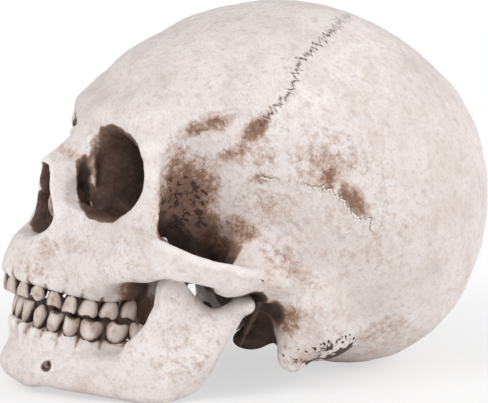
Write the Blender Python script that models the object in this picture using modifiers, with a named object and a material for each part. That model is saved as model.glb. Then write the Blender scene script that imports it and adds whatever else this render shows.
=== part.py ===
"""Anatomical skull model with a hinged lower jaw.

A life-size display skull: a hollow skull casting, a separate lower jaw on two
springs, thirty-two teeth set in sockets, a moulded nose insert and two
styloid spikes. It lies at rest on both jaw angles and the back of the head.
Metres, +Z up, face towards -Y, the skull's own left side at +X.
"""
import math

import bmesh
import bpy
import numpy as np
from mathutils import Matrix, Vector

# Driving dimensions
BASE_LENGTH = 0.100        # nasion to the front of the foramen magnum
HALF_BREADTH = 0.0708      # midline to the side of the braincase
VAULT_WALL = 0.010         # braincase casting, at its sides
FORAMEN_RADIUS = 0.0155    # foramen magnum
MENTAL_RADIUS = 0.0021     # small hole beside the chin
EAR_RADIUS = 0.0032        # ear canal

FIT_GAP = 0.0003           # clearance between two seated pieces
BITE_GAP = 0.0010          # between closed upper and lower teeth
CROWN_GAP = 0.0004         # between neighbouring crowns
MERGE = 0.00008            # points closer than this are one
WELD = 0.00001             # the same, at the ends of a wire
MILLIMETRE = 0.001         # for the printed gap
SOCKET_ROOM = 0.0021       # round the condyle in its joint socket

# Sizes as shares of the base length
orbit_width_share, orbit_height_share, orbit_depth_share = .37, .345, .35
ORBIT_WIDTH = orbit_width_share * BASE_LENGTH
ORBIT_HEIGHT = orbit_height_share * BASE_LENGTH
ORBIT_DEPTH = orbit_depth_share * BASE_LENGTH
skull_voxel_share, jaw_voxel_share, insert_voxel_share = .016, .011, .007
SKULL_VOXEL = skull_voxel_share * BASE_LENGTH
JAW_VOXEL = jaw_voxel_share * BASE_LENGTH
INSERT_VOXEL = insert_voxel_share * BASE_LENGTH
SKULL_FACES = 7700
JAW_FACES = 2250
INSERT_FACES = 380

# Teeth: widths along the row and thickness across it, for first incisor to
# third molar, and the root peg held in the socket
upper_width_shares = (.077, .062, .068, .062, .061, .083, .079, .072)
upper_depth_shares = (.064, .060, .074, .082, .084, .098, .096, .086)
lower_width_shares = (.050, .054, .062, .065, .067, .096, .092, .084)
lower_depth_shares = (.058, .060, .072, .076, .080, .094, .092, .088)
peg_share = .062
PEG_LENGTH = peg_share * BASE_LENGTH

# Jaw springs and their screws
SPRING_WIRE = 0.0007
SPRING_RADIUS = 0.0022     # centre line of the curls
SPRING_PITCH = 0.0016
SPRING_CURLS = 11
SCREW_RADIUS = 0.0009
SCREW_HEAD_RADIUS = 0.0022
SCREW_HEAD = 0.0012
SCREW_GRIP = 0.0045        # length held in the casting
RING_STAND = 0.0032        # from the casting to the spring's ring

STYLOID_RADIUS = 0.0019
STYLOID_PEG = 0.004
styloid_tip_share = .3

# Lengths of the cutting rods, in their own radii
foramen_reach_share = 2
mental_reach_share = 4
ear_taper_share = .7

# Braincase: angle about its centre in the middle plane, and radius there
VAULT_CENTRE_shares = (0, .28, .80)
vault_radius_shares = (
    (-163, .640), (-141, .610), (-125, .660), (-108, .720), (-88, .785),
    (-75, .836), (-61, .868), (-45, .866), (-29, .826), (-9, .792), (5, .770),
    (30, .742), (50, .708), (74, .726), (96, .769), (111, .800), (126, .860),
    (140, .905), (156, .915), (163, .870), (176, .720))
# how square the braincase is across, by the same angle
VAULT_POWERS = (
    (-163, 2.0), (-120, 2.1), (-60, 2.05), (0, 2.15), (50, 2.25), (90, 2.25),
    (125, 2.25), (150, 2.2), (165, 2.15), (180, 2.1))
# brain space: centre and half sizes of overlapping balls, the widths as
# shares of the space's own half breadth
brain_space_shares = (
    ((0, .33, .86), (1.0, .63, .60)), ((0, -.05, 1.16), (.70, .42, .26)),
    ((0, .36, .46), (.77, .46, .36)), ((.51, 0, .76), (.27, .19, .13)))

# Solid masses of the skull's left half: centre, half sizes, turns about Z, X
skull_mass_shares = (
    ((.22, -.70, .57), (.19, .15, .16), 0, 0),       # upper jaw
    ((.13, -.82, .57), (.14, .12, .10), 0, 0),
    ((.485, -.605, .65), (.075, .085, .135), -15, 0),  # cheekbone
    ((0, -.76, .56), (.27, .24, .04), 0, 8),         # palate
    ((.44, .16, .26), (.14, .17, .15), 0, 0),        # behind the mastoid
    ((.52, -.12, .48), (.12, .14, .09), 0, 0),       # over the jaw socket
    ((.165, -.02, .13), (.06, .100, .06), 20, 0),    # occipital condyle
    ((.29, -.42, .82), (.20, .175, .28), 0, 0),      # behind the orbit
    ((0, -.58, .86), (.15, .20, .24), 0, 0),         # between the orbits
    ((0, -.365, 1.10), (.51, .24, .28), 0, 0),        # forehead over the brow
    ((.345, -.465, 1.085), (.165, .130, .150), 0, 0),  # temporal line
    ((.33, -.66, .62), (.13, .08, .09), 0, 0))       # under the orbit
plate_shares = (
    ((.21, -.49, .43), (.024, .06, .13), 18, 14),    # outer pterygoid plate
    ((.12, -.50, .44), (.022, .05, .12), 0, 14))     # inner pterygoid plate

# Broad bars of the base and side: rows of x, y, z and radius
base_bar_shares = (
    # mastoid
    ((.560, .080, .380, .120), (.545, .060, .260, .095), (.520, .020, .150, .058)),
    # eminence in front of the jaw socket
    ((.600, -.290, .480, .042), (.500, -.305, .480, .044), (.420, -.305, .490, .050)),
    # middle of the base
    ((0, -.060, .260, .055), (0, -.130, .460, .065), (0, -.300, .580, .110), (0, -.420, .620, .120)),
    ((.460, -.060, .420, .080), (.300, -.080, .400, .070), (.140, -.080, .360, .060)),
    ((.330, -.460, .600, .080), (.300, -.340, .520, .080)))

# Ridges and bars of the face
face_bar_shares = (
    # brow
    ((0, -.630, 1.110, .060), (.14, -.635, 1.115, .056), (.28, -.605, 1.120, .050),
     (.40, -.578, 1.100, .044), (.495, -.562, 1.035, .042)),
    # outer rim of the orbit
    ((.505, -.565, 1.025, .040), (.522, -.570, .920, .038), (.520, -.578, .820, .044),
     (.505, -.590, .740, .060)),
    # nasal bones
    ((0, -.630, 1.040, .060), (0, -.740, .982, .046), (0, -.848, .920, .038)),
    ((.04, -.700, .980, .040), (.055, -.810, .910, .032)),
    # side of the nose, down to the upper jaw
    ((.060, -.640, 1.040, .050), (.095, -.710, .960, .034), (.115, -.770, .870, .030),
     (.135, -.810, .780, .030), (.155, -.830, .700, .034), (.160, -.850, .620, .050)),
    # lower rim of the orbit
    ((.510, -.595, .770, .060), (.440, -.655, .710, .046), (.340, -.695, .695, .040),
     (.240, -.730, .715, .038), (.165, -.775, .770, .034)),
    # cheekbone crest
    ((.510, -.580, .580, .060), (.465, -.645, .570, .068), (.390, -.700, .530, .062),
     (.330, -.730, .490, .060)),
    # gum of the upper jaw, and the bone over it
    ((0, -1.000, .505, .048), (.080, -.985, .500, .048), (.145, -.945, .490, .048),
     (.200, -.880, .475, .050), (.240, -.810, .460, .054), (.262, -.740, .450, .058),
     (.272, -.660, .440, .058), (.275, -.580, .440, .052)),
    ((0, -.965, .585, .048), (.075, -.950, .580, .048), (.135, -.910, .570, .052),
     (.186, -.845, .555, .060), (.223, -.775, .540, .068), (.245, -.705, .530, .074),
     (.255, -.625, .520, .074), (.255, -.555, .520, .060)),
    # nasal spine
    ((0, -.920, .605, .030), (0, -.972, .614, .014)))

# Hollows of the left half
skull_hollow_shares = (
    ((.645, -.38, .82), (.18, .155, .27), 12, 0),    # temple
    ((.530, -.42, .68), (.115, .125, .20), 14, 0),
    ((.425, -.45, .49), (.10, .095, .22), 0, 0),     # under the temple
    ((.440, -.62, .40), (.10, .13, .095), 0, 0),     # under the cheekbone
    ((.015, -.88, .82), (.056, .16, .096), 0, 0),    # nose opening, top
    ((.052, -.88, .715), (.070, .18, .078), 0, 0),   # nose opening, foot
    ((0, -.66, .74), (.085, .26, .11), 0, 0),        # nose passage
    ((.25, -.91, .61), (.08, .07, .08), 0, 0))       # over the canine
skull_passage_shares = (
    ((.05, -.46, .62, .05), (.05, -.36, .48, .05)),)  # nose to throat

# Cheek arch, two bars one over the other
cheek_arch_shares = (
    ((.530, -.580, .660, .036), (.585, -.535, .635, .030), (.630, -.460, .600, .027),
     (.655, -.360, .565, .027), (.650, -.240, .530, .032), (.620, -.080, .500, .050)),
    ((.520, -.600, .570, .046), (.580, -.545, .560, .036), (.630, -.460, .540, .030),
     (.652, -.360, .515, .028), (.635, -.260, .485, .028), (.600, -.200, .480, .036)))

# Lower jaw: condyle, then rows of x, y, z and radius
CONDYLE_shares = (.510, -.193, .386)
condyle_size_shares = (.095, .042, .044)
jaw_bar_shares = (
    # lower border from the chin to the angle
    ((0, -.990, .095, .055), (.100, -.980, .092, .055), (.190, -.930, .086, .052),
     (.290, -.840, .080, .052), (.380, -.730, .068, .052), (.440, -.640, .056, .054),
     (.472, -.565, .046, .053)),
    # gum of the lower jaw
    ((0, -.968, .248, .046), (.080, -.953, .238, .046), (.145, -.912, .220, .046),
     (.200, -.845, .205, .047), (.245, -.765, .180, .050), (.285, -.675, .165, .054),
     (.320, -.590, .170, .054)),
    # body between them
    ((0, -.980, .140, .050), (.120, -.955, .140, .050), (.230, -.870, .140, .048),
     (.330, -.750, .135, .050), (.400, -.640, .130, .056), (.450, -.560, .130, .052)),
    # back border of the ramus
    ((.530, -.230, .360, .034), (.530, -.290, .270, .034), (.520, -.365, .190, .036),
     (.508, -.440, .120, .040), (.490, -.520, .072, .048)),
    # front border and coronoid process
    ((.500, -.500, .530, .026), (.497, -.514, .460, .032), (.490, -.520, .380, .038),
     (.465, -.572, .290, .042), (.420, -.630, .215, .048)),
    ((.500, -.478, .530, .026), (.503, -.468, .470, .030), (.500, -.470, .400, .036),
     (.495, -.480, .320, .036)),
    # notch
    ((.500, -.450, .410, .032), (.512, -.395, .345, .030), (.524, -.325, .318, .030),
     (.530, -.260, .335, .030)),
    # sheet between the borders
    ((.505, -.400, .270, .034), (.492, -.470, .220, .040), (.470, -.540, .170, .046)),
    ((.512, -.380, .220, .034), (.500, -.460, .150, .040), (.482, -.550, .110, .046)),
    ((.500, -.440, .320, .034), (.480, -.500, .270, .038)))
jaw_mass_shares = (
    ((.497, -.440, .220), (.030, .130, .190), 6, 0),  # sheet of the ramus
    (CONDYLE_shares, condyle_size_shares, 0, 0),
    ((0, -1.00, .105), (.09, .060, .065), 0, 0),     # chin
    ((.12, -.975, .075), (.07, .048, .046), 0, 0))
MENTAL_FORAMEN_shares = (.235, -.935, .132)
mental_aim_shares = (.80, -.60, 0)

# Rows of teeth along the gum: x, y, z of the crown's neck, front to back
upper_row_shares = (
    (0, -1.012, .462), (.085, -.990, .458), (.145, -.950, .448), (.190, -.893, .430),
    (.220, -.825, .410), (.243, -.745, .392), (.256, -.655, .382), (.262, -.560, .376),
    (.264, -.500, .374))
lower_row_shares = (
    (0, -.990, .298), (.060, -.982, .288), (.118, -.950, .270), (.170, -.895, .256),
    (.210, -.830, .242), (.250, -.745, .222), (.285, -.650, .212), (.310, -.560, .212),
    (.320, -.500, .214))
# where the closed rows meet, by place along the row from front to back
bite_height_shares = ((-1.05, .392), (-.95, .380), (-.90, .356), (-.83, .326), (-.70, .303), (-.55, .293))

# Places of the small pieces
EAR_MOUTH_shares = (.70, -.10, .385)
EAR_END_shares = (.52, -.11, .360)
FORAMEN_shares = (0, .020, .12)
foramen_axis_shares = (0, -.469, -.883)
STYLOID_BASE_shares = (.425, -.115, .300)
STYLOID_TIP_shares = (.405, -.165, .185)
UPPER_SCREW_shares = (.395, -.500, .640)
LOWER_SCREW_shares = (.462, -.505, .270)


def at(shares):
    """A place given in shares of the skull base length."""
    return Vector(shares) * BASE_LENGTH


def new_object(name, mesh, collection):
    made = bpy.data.objects.new(name, mesh)
    collection.objects.link(made)
    return made


def bm_to_object(bm, name, collection):
    mesh = bpy.data.meshes.new(name)
    bmesh.ops.recalc_face_normals(bm, faces=bm.faces)
    bm.to_mesh(mesh)
    bm.free()
    return new_object(name, mesh, collection)


def add_ball(bm, centre, radii, turn_z=0.0, turn_x=0.0):
    """An ellipsoid, turned in degrees about Z and then X."""
    turn = Matrix.Rotation(math.radians(turn_x), 4, "X") @ Matrix.Rotation(math.radians(turn_z), 4, "Z")
    place = Matrix.Translation(centre) @ turn @ Matrix.Diagonal((*radii, 1.0))
    bmesh.ops.create_icosphere(bm, subdivisions=4, radius=1.0, matrix=place)


def add_bar(bm, rows, grow=0.0):
    """A chain of tapered round bars, each the hull of two balls."""
    for first, second in zip(rows, rows[1:]):
        link = bmesh.new()
        for x, y, z, radius in (first, second):
            bmesh.ops.create_icosphere(link, subdivisions=3, radius=radius * BASE_LENGTH + grow,
                                       matrix=Matrix.Translation(at((x, y, z))))
        hull = bmesh.ops.convex_hull(link, input=link.verts)
        inner = [item for item in hull["geom_interior"] if isinstance(item, bmesh.types.BMVert)]
        bmesh.ops.delete(link, geom=inner, context="VERTS")
        mesh = bpy.data.meshes.new("link")
        link.to_mesh(mesh)
        link.free()
        bm.from_mesh(mesh)
        bpy.data.meshes.remove(mesh)


def add_masses(bm, table, grow=0.0):
    for centre, radii, turn_z, turn_x in table:
        add_ball(bm, at(centre), at(radii) + Vector((grow,) * 3), turn_z, turn_x)


def add_loft(bm, rings):
    """A closed skin over rings of equal point count, with flat ends."""
    rows = [[bm.verts.new(point) for point in ring] for ring in rings]
    count = len(rows[0])
    for lower, upper in zip(rows, rows[1:]):
        for i in range(count):
            j = (i + 1) % count
            bm.faces.new((lower[i], lower[j], upper[j], upper[i]))
    bm.faces.new(rows[0][::-1])
    bm.faces.new(rows[-1])


def add_rod(bm, start, end, radius, end_radius=None, sides=16):
    """A round rod or cone from one place to another."""
    span = Vector(end) - Vector(start)
    place = Matrix.Translation((Vector(start) + Vector(end)) / 2) @ span.to_track_quat("Z", "Y").to_matrix().to_4x4()
    bmesh.ops.create_cone(bm, cap_ends=True, segments=sides, radius1=radius,
                          radius2=radius if end_radius is None else end_radius,
                          depth=span.length, matrix=place)


def turned(name, place, aim, profile, collection, sides=16):
    """A turned piece: rows of height and radius from its top to its foot."""
    bm = bmesh.new()
    rows = [(profile[0][0], 0.0), *profile, (profile[-1][0], 0.0)]
    verts = [bm.verts.new((radius, 0.0, height)) for height, radius in rows]
    for first, second in zip(verts, verts[1:]):
        bm.edges.new((first, second))
    mesh = bpy.data.meshes.new(name)
    bm.to_mesh(mesh)
    bm.free()
    made = new_object(name, mesh, collection)
    made.location = place
    made.rotation_mode = "QUATERNION"
    made.rotation_quaternion = aim.to_track_quat("Z", "Y")
    step = made.modifiers.new("Screw", "SCREW")
    step.axis = "Z"
    step.steps = step.render_steps = sides
    step.use_merge_vertices = True
    step.merge_threshold = WELD
    bake(made)
    return made


def finish(obj, look, sharp_degrees=50):
    """Give a piece its material and smooth shading between sharp edges."""
    obj.data.materials.clear()
    obj.data.materials.append(look)
    obj.data.shade_smooth()
    obj.data.set_sharp_from_angle(angle=math.radians(sharp_degrees))


def own_origin(obj, origin):
    """Move the piece's own origin to a place, with its shape left where it is."""
    obj.data.transform(Matrix.Translation(-origin))
    obj.location = origin


def hang_on(obj, pivot):
    """Parent a piece to a pivot, with its shape left where it is."""
    obj.parent = pivot
    obj.location = obj.location - pivot.location


def remesh(obj, voxel):
    step = obj.modifiers.new("Remesh", "REMESH")
    step.mode = "VOXEL"
    step.voxel_size = voxel


def smooth(obj, times):
    step = obj.modifiers.new("Smooth", "SMOOTH")
    step.factor = 0.5
    step.iterations = times


def boolean(obj, other, operation):
    step = obj.modifiers.new(operation.title(), "BOOLEAN")
    step.operation = operation
    step.solver = "EXACT"
    step.object = other


def mirror(obj):
    """Cut the object open at the middle plane and mirror its left half."""
    bake(obj)
    bm = bmesh.new()
    bm.from_mesh(obj.data)
    bmesh.ops.remove_doubles(bm, verts=bm.verts, dist=MERGE)
    bmesh.ops.bisect_plane(bm, geom=bm.verts[:] + bm.edges[:] + bm.faces[:], dist=MERGE,
                           plane_co=(0, 0, 0), plane_no=(1, 0, 0), clear_inner=True)
    for vert in bm.verts:
        if abs(vert.co.x) <= MERGE:
            vert.co.x = 0
    bm.to_mesh(obj.data)
    bm.free()
    step = obj.modifiers.new("Mirror", "MIRROR")
    step.use_axis[0] = True
    step.use_clip = True
    step.merge_threshold = MERGE / 2


def decimate(obj, faces):
    """Thin the mesh to about so many triangles."""
    bake(obj)
    obj.data.calc_loop_triangles()
    step = obj.modifiers.new("Decimate", "DECIMATE")
    step.ratio = min(1.0, faces / len(obj.data.loop_triangles))
    step.use_symmetry = True
    step.symmetry_axis = "X"


def bake(obj):
    """Put the modifiers' result in the object's own mesh."""
    bpy.context.view_layer.update()
    graph = bpy.context.evaluated_depsgraph_get()
    mesh = bpy.data.meshes.new_from_object(obj.evaluated_get(graph), depsgraph=graph)
    old = obj.data
    obj.modifiers.clear()
    obj.data = mesh
    mesh.name = obj.name
    bpy.data.meshes.remove(old)


def keep_largest(obj):
    """Drop loose crumbs and bubbles that the joining left."""
    bm = bmesh.new()
    bm.from_mesh(obj.data)
    left, groups = set(bm.verts), []
    while left:
        stack = [left.pop()]
        group = set(stack)
        while stack:
            for edge in stack.pop().link_edges:
                for vert in edge.verts:
                    if vert not in group:
                        group.add(vert)
                        stack.append(vert)
        left -= group
        groups.append(group)
    groups.sort(key=len)
    for group in groups[:-1]:
        bmesh.ops.delete(bm, geom=list(group), context="VERTS")
    bm.to_mesh(obj.data)
    bm.free()


def material(name, colour, roughness, metallic=0.0):
    made = bpy.data.materials.new(name)
    made.use_nodes = True
    shader = made.node_tree.nodes["Principled BSDF"]
    shader.inputs["Base Color"].default_value = (*colour, 1.0)
    shader.inputs["Roughness"].default_value = roughness
    shader.inputs["Metallic"].default_value = metallic
    return made


def smooth_table(table, angles, spread):
    """Read a closed table of (angle, value) rows, softened over a spread."""
    keys, values = np.array(table, float).T
    offsets = np.linspace(-spread, spread, 13)
    weights = np.exp(-2.0 * (offsets / spread) ** 2)
    reads = [np.interp(angles + offset, keys, values, period=360.0) for offset in offsets]
    return np.dot(weights / weights.sum(), reads)


def add_braincase(bm):
    """A ball whose points are moved out to the braincase's outline."""
    verts = bmesh.ops.create_icosphere(bm, subdivisions=6, radius=1.0)["verts"]
    ball = np.array([vert.co for vert in verts])
    across, along = np.abs(ball[:, 0]), np.hypot(ball[:, 1], ball[:, 2])
    angles = np.degrees(np.arctan2(ball[:, 2], ball[:, 1]))
    reach = smooth_table(vault_radius_shares, angles, 10.0) * BASE_LENGTH
    power = smooth_table(VAULT_POWERS, angles, 16.0)
    radius = ((across / HALF_BREADTH) ** power + (along / reach) ** power) ** (-1.0 / power)
    for vert, place in zip(verts, np.array(at(VAULT_CENTRE_shares)) + ball * radius[:, None]):
        vert.co = place


def orbit_rings():
    """Rings of the eye socket from in front of its rim back to its apex."""
    inner_x_share, rim_y_share, floor_share, mid_y_share = .13, -.68, -.96, -.61
    centre_z_share, drop_share, droop_share, mid_x_share = .912, .09, .15, .31
    narrow_share, apex_share, end_share, round_off_share = 1.13, .08, .5, .97
    ring_count, front_rings, points, square = 13, 4, 22, 2.35
    inner = inner_x_share * BASE_LENGTH
    rings = []
    for i in range(ring_count):
        depth = max(i - front_rings, 0) / (ring_count - front_rings - 1)
        y = (floor_share + (rim_y_share - floor_share) * min(i / front_rings, 1.0)) * BASE_LENGTH
        y += math.sin(depth * math.pi / 2) * ORBIT_DEPTH
        outer = inner + ORBIT_WIDTH - (y - mid_y_share * BASE_LENGTH) * narrow_share
        half = max(outer - inner, ORBIT_WIDTH * apex_share) / 2
        tall = ORBIT_HEIGHT / 2 * math.sqrt(1 - depth ** 2.2 * round_off_share)
        tall *= end_share if i == ring_count - 1 else 1.0
        mid_z = (centre_z_share - drop_share * depth) * BASE_LENGTH
        ring = []
        for k in range(points):
            turn = 2 * math.pi * k / points
            c, s = math.cos(turn), math.sin(turn)
            x = inner + half + half * math.copysign(abs(c) ** (2 / square), c)
            z = mid_z + tall * math.copysign(abs(s) ** (2 / square), s)
            ring.append(Vector((x, y, z - droop_share * (x - mid_x_share * BASE_LENGTH))))
        rings.append(ring)
    return rings


def row_walk(row_shares, widths):
    """Places along a row of teeth, by stepping one tooth width at a time."""
    places = np.array([at(place) for place in row_shares])
    spans = np.linalg.norm(np.diff(places, axis=0), axis=1)
    reach = np.concatenate([[0.0], np.cumsum(spans)])
    stations, walked, step_share = [], 0.0, .01
    for width in widths:
        walked += (width + CROWN_GAP) / 2
        here = [np.interp(walked, reach, places[:, axis]) for axis in range(3)]
        step = step_share * BASE_LENGTH
        ahead = [np.interp(walked + step, reach, places[:, axis]) for axis in range(3)]
        back = [np.interp(walked - step, reach, places[:, axis]) for axis in range(3)]
        stations.append((Vector(here), (Vector(ahead) - Vector(back)).normalized()))
        walked += (width + CROWN_GAP) / 2
    return stations


# Crown forms: rows of height along the crown, width and depth, as shares of
# the tooth's own sizes; negative heights are shares of the root peg
chisel_shares = ((-1, .36, .42), (-.45, .54, .62), (0, .70, .84), (.35, .88, .96),
                 (.72, .98, .66), (.94, .97, .34), (1, .88, .22))
spear_shares = ((-1, .38, .42), (-.45, .56, .64), (0, .74, .86), (.35, .94, 1.0),
                (.68, .96, .82), (.90, .62, .48), (1, .30, .24))
block_shares = ((-1, .40, .42), (-.45, .62, .66), (0, .80, .84), (.35, .97, 1.0),
                (.70, 1.0, .96), (.92, .90, .78), (1, .70, .56))
CROWN_FORMS = (chisel_shares, chisel_shares, spear_shares) + (block_shares,) * 5
TOOTH_NAMES = ("central_incisor", "lateral_incisor", "canine", "first_premolar",
               "second_premolar", "first_molar", "second_molar", "third_molar")
# lean of each crown out of its row
upper_lean_shares = (.26, .24, .16, .08, .06, .06, .06, .08)
lower_lean_shares = (.20, .20, .14, .06, .0, -.06, -.10, -.12)
BITE_NORMAL_shares = (0, .24, .97)
TOOTH_SIDES = 8


def tooth_rings(place, along, up, lean, width, depth, tall, form, grow=0.0):
    """Rings of one tooth from the foot of its peg to its biting end."""
    out = along.cross(up)
    if out.x * place.x < 0 or (abs(along.x) > abs(along.y) and out.y > 0):
        out = -out
    axis = (up + out * lean).normalized()
    out = (out - axis * out.dot(axis)).normalized()
    side = axis.cross(out)
    rings = []
    for height, wide, deep in form:
        reach = height * (PEG_LENGTH if height < 0 else tall)
        reach += grow if height == 1 else -grow if height == -1 else 0.0
        ring = []
        for k in range(TOOTH_SIDES):
            turn = 2 * math.pi * k / TOOTH_SIDES
            c, s = math.cos(turn), math.sin(turn)
            across = math.copysign(abs(c) ** .8, c) * (width * wide / 2 + grow)
            through = math.copysign(abs(s) ** .8, s) * (depth * deep / 2 + grow)
            ring.append(place + side * across + out * through + axis * reach)
        rings.append(ring)
    return rings


def tooth_set(row_shares, width_shares, depth_shares, leans, upper):
    """Name and loft settings of each tooth of one jaw's left half."""
    widths = [share * BASE_LENGTH for share in width_shares]
    depths = [share * BASE_LENGTH for share in depth_shares]
    up = Vector(BITE_NORMAL_shares).normalized() * (-1 if upper else 1)
    keys = [row[0] for row in bite_height_shares]
    heights = [row[1] for row in bite_height_shares]
    teeth = []
    for i, (place, along) in enumerate(row_walk(row_shares, widths)):
        tall = 0.0
        for _ in range(4):
            tip = place + up * tall
            bite = np.interp(tip.y / BASE_LENGTH, keys, heights) * BASE_LENGTH
            bite += BITE_GAP / 2 if upper else -BITE_GAP / 2
            tall += (bite - tip.z) / up.z
        teeth.append((TOOTH_NAMES[i], (place, along, up, leans[i], widths[i], depths[i], tall, CROWN_FORMS[i])))
    return teeth


def flipped(point):
    return Vector((-point.x, point.y, point.z))


def make_teeth(jaw_name, teeth, collection, cutters, looks):
    """Teeth of both sides, and one cutter with all of their sockets."""
    sockets, made = bmesh.new(), []
    for name, settings in teeth:
        rings = tooth_rings(*settings)
        wide_rings = tooth_rings(*settings, grow=FIT_GAP)
        for side, turn in (("left", Vector), ("right", flipped)):
            bm = bmesh.new()
            add_loft(bm, [[turn(point) for point in ring] for ring in rings])
            tooth = bm_to_object(bm, f"{jaw_name}_{name}_{side}", collection)
            finish(tooth, looks["tooth"])
            own_origin(tooth, turn(settings[0]))
            made.append(tooth)
            add_loft(sockets, [[turn(point) for point in ring] for ring in wide_rings])
    return made, bm_to_object(sockets, f"{jaw_name}_sockets", cutters)


def make_cranium(collection, cutters):
    """The hollow skull casting, without sockets."""
    bm = bmesh.new()
    add_braincase(bm)
    add_masses(bm, skull_mass_shares)
    for rows in base_bar_shares:
        add_bar(bm, rows)
    broad = bm_to_object(bm, "broad_forms", cutters)
    remesh(broad, SKULL_VOXEL)
    smooth(broad, 18)
    bake(broad)
    bm = bmesh.new()
    bm.from_mesh(broad.data)
    add_masses(bm, plate_shares)
    for rows in face_bar_shares:
        add_bar(bm, rows)
    skull = bm_to_object(bm, "cranium", collection)
    remesh(skull, SKULL_VOXEL)
    smooth(skull, 5)

    bm = bmesh.new()
    add_masses(bm, skull_hollow_shares)
    for rows in skull_passage_shares:
        add_bar(bm, rows)
    inner_breadth = HALF_BREADTH - VAULT_WALL
    for (x, y, z), (width, depth, height) in brain_space_shares:
        add_ball(bm, Vector((x * inner_breadth, y * BASE_LENGTH, z * BASE_LENGTH)),
                 (width * inner_breadth, depth * BASE_LENGTH, height * BASE_LENGTH))
    axis = Vector(foramen_axis_shares) * FORAMEN_RADIUS * foramen_reach_share
    add_rod(bm, at(FORAMEN_shares) - axis, at(FORAMEN_shares) + axis, FORAMEN_RADIUS, sides=32)
    hollows = bm_to_object(bm, "skull_hollows", cutters)
    remesh(hollows, SKULL_VOXEL)
    smooth(hollows, 3)
    bm = bmesh.new()
    add_loft(bm, orbit_rings())
    orbit = bm_to_object(bm, "orbit_space", cutters)
    remesh(orbit, SKULL_VOXEL)
    bm = bmesh.new()
    for rows in cheek_arch_shares:
        add_bar(bm, rows)
    arch = bm_to_object(bm, "cheek_arch", cutters)
    remesh(arch, SKULL_VOXEL)
    boolean(skull, hollows, "DIFFERENCE")
    boolean(skull, orbit, "DIFFERENCE")
    boolean(skull, arch, "UNION")
    bake(skull)

    bm = bmesh.new()
    add_ball(bm, at(CONDYLE_shares), [size * BASE_LENGTH + SOCKET_ROOM for size in condyle_size_shares])
    socket = bm_to_object(bm, "jaw_joint_socket", cutters)
    bm = bmesh.new()
    add_rod(bm, at(EAR_MOUTH_shares), at(EAR_END_shares), EAR_RADIUS, EAR_RADIUS * ear_taper_share)
    ear = bm_to_object(bm, "ear_canal", cutters)
    remesh(skull, SKULL_VOXEL)
    smooth(skull, 2)
    for cutter in (socket, ear):
        boolean(skull, cutter, "DIFFERENCE")
    mirror(skull)
    decimate(skull, SKULL_FACES)
    bake(skull)
    keep_largest(skull)
    return skull


def make_mandible(collection, cutters):
    """The lower jaw casting, without sockets."""
    bm = bmesh.new()
    add_masses(bm, jaw_mass_shares)
    for rows in jaw_bar_shares:
        add_bar(bm, rows)
    jaw = bm_to_object(bm, "mandible", collection)
    remesh(jaw, JAW_VOXEL)
    smooth(jaw, 6)
    bm = bmesh.new()
    start, aim = at(MENTAL_FORAMEN_shares), Vector(mental_aim_shares)
    add_rod(bm, start - aim * MENTAL_RADIUS, start + aim * MENTAL_RADIUS * mental_reach_share, MENTAL_RADIUS)
    hole = bm_to_object(bm, "mental_foramen", cutters)
    boolean(jaw, hole, "DIFFERENCE")
    mirror(jaw)
    decimate(jaw, JAW_FACES)
    bake(jaw)
    keep_largest(jaw)
    return jaw


def surface_along(obj, start, direction):
    """Where a straight line from a place first meets the object."""
    hit, place, _, _ = obj.ray_cast(start, direction)
    if not hit:
        raise RuntimeError(f"no surface of {obj.name} there")
    return place


def spring_path(upper, lower, across):
    """Ring, leg, curls, leg, ring: the centre line of one spring's wire."""
    axis = (lower - upper).normalized()
    side = across.cross(axis).normalized()
    out = axis.cross(side)
    ring_radius = SCREW_RADIUS + FIT_GAP + SPRING_WIRE / 2
    span = (lower - upper).length
    start = (span - SPRING_CURLS * SPRING_PITCH) / 2
    ring_points, curl_points = 9, 9
    path = []
    for k in range(ring_points + 1):
        turn = math.radians(270) * (1 - k / ring_points)
        path.append(upper + (side * math.cos(turn) - axis * math.sin(turn)) * ring_radius)
    path.append(upper + axis * (start - SPRING_WIRE * 2) + side * SPRING_RADIUS)
    for k in range(SPRING_CURLS * curl_points + 1):
        turn = 2 * math.pi * k / curl_points
        reach = start + SPRING_PITCH * k / curl_points
        path.append(upper + axis * reach + (side * math.cos(turn) + out * math.sin(turn)) * SPRING_RADIUS)
    path.append(lower - axis * (start - SPRING_WIRE * 2) + side * SPRING_RADIUS)
    for k in range(ring_points + 1):
        turn = math.radians(270) * k / ring_points
        path.append(lower + (side * math.cos(turn) + axis * math.sin(turn)) * ring_radius)
    return path


def least_gap(path):
    """Clear distance between turns of the wire that lie apart along it."""
    points = np.array(path)
    lengths = np.concatenate([[0], np.cumsum(np.linalg.norm(np.diff(points, axis=0), axis=1))])
    apart = np.linalg.norm(points[:, None] - points[None], axis=2)
    far = np.abs(lengths[:, None] - lengths[None]) > SPRING_WIRE * 4
    return float(apart[far].min() - SPRING_WIRE)


def wire_object(name, path, collection, look):
    """A round wire along a path, as a closed mesh."""
    curve = bpy.data.curves.new(name, "CURVE")
    curve.dimensions = "3D"
    curve.bevel_depth = SPRING_WIRE / 2
    curve.bevel_resolution = 1
    curve.use_fill_caps = True
    line = curve.splines.new("POLY")
    line.points.add(len(path) - 1)
    for point, place in zip(line.points, path):
        point.co = (*place, 1.0)
    guide = new_object(name, curve, collection)
    bpy.context.view_layer.update()
    mesh = bpy.data.meshes.new_from_object(guide.evaluated_get(bpy.context.evaluated_depsgraph_get()))
    bpy.data.objects.remove(guide)
    bm = bmesh.new()
    bm.from_mesh(mesh)
    bmesh.ops.remove_doubles(bm, verts=bm.verts, dist=WELD)
    bpy.data.meshes.remove(mesh)
    wire = bm_to_object(bm, name, collection)
    wire.name = name
    finish(wire, look)
    return wire


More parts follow.
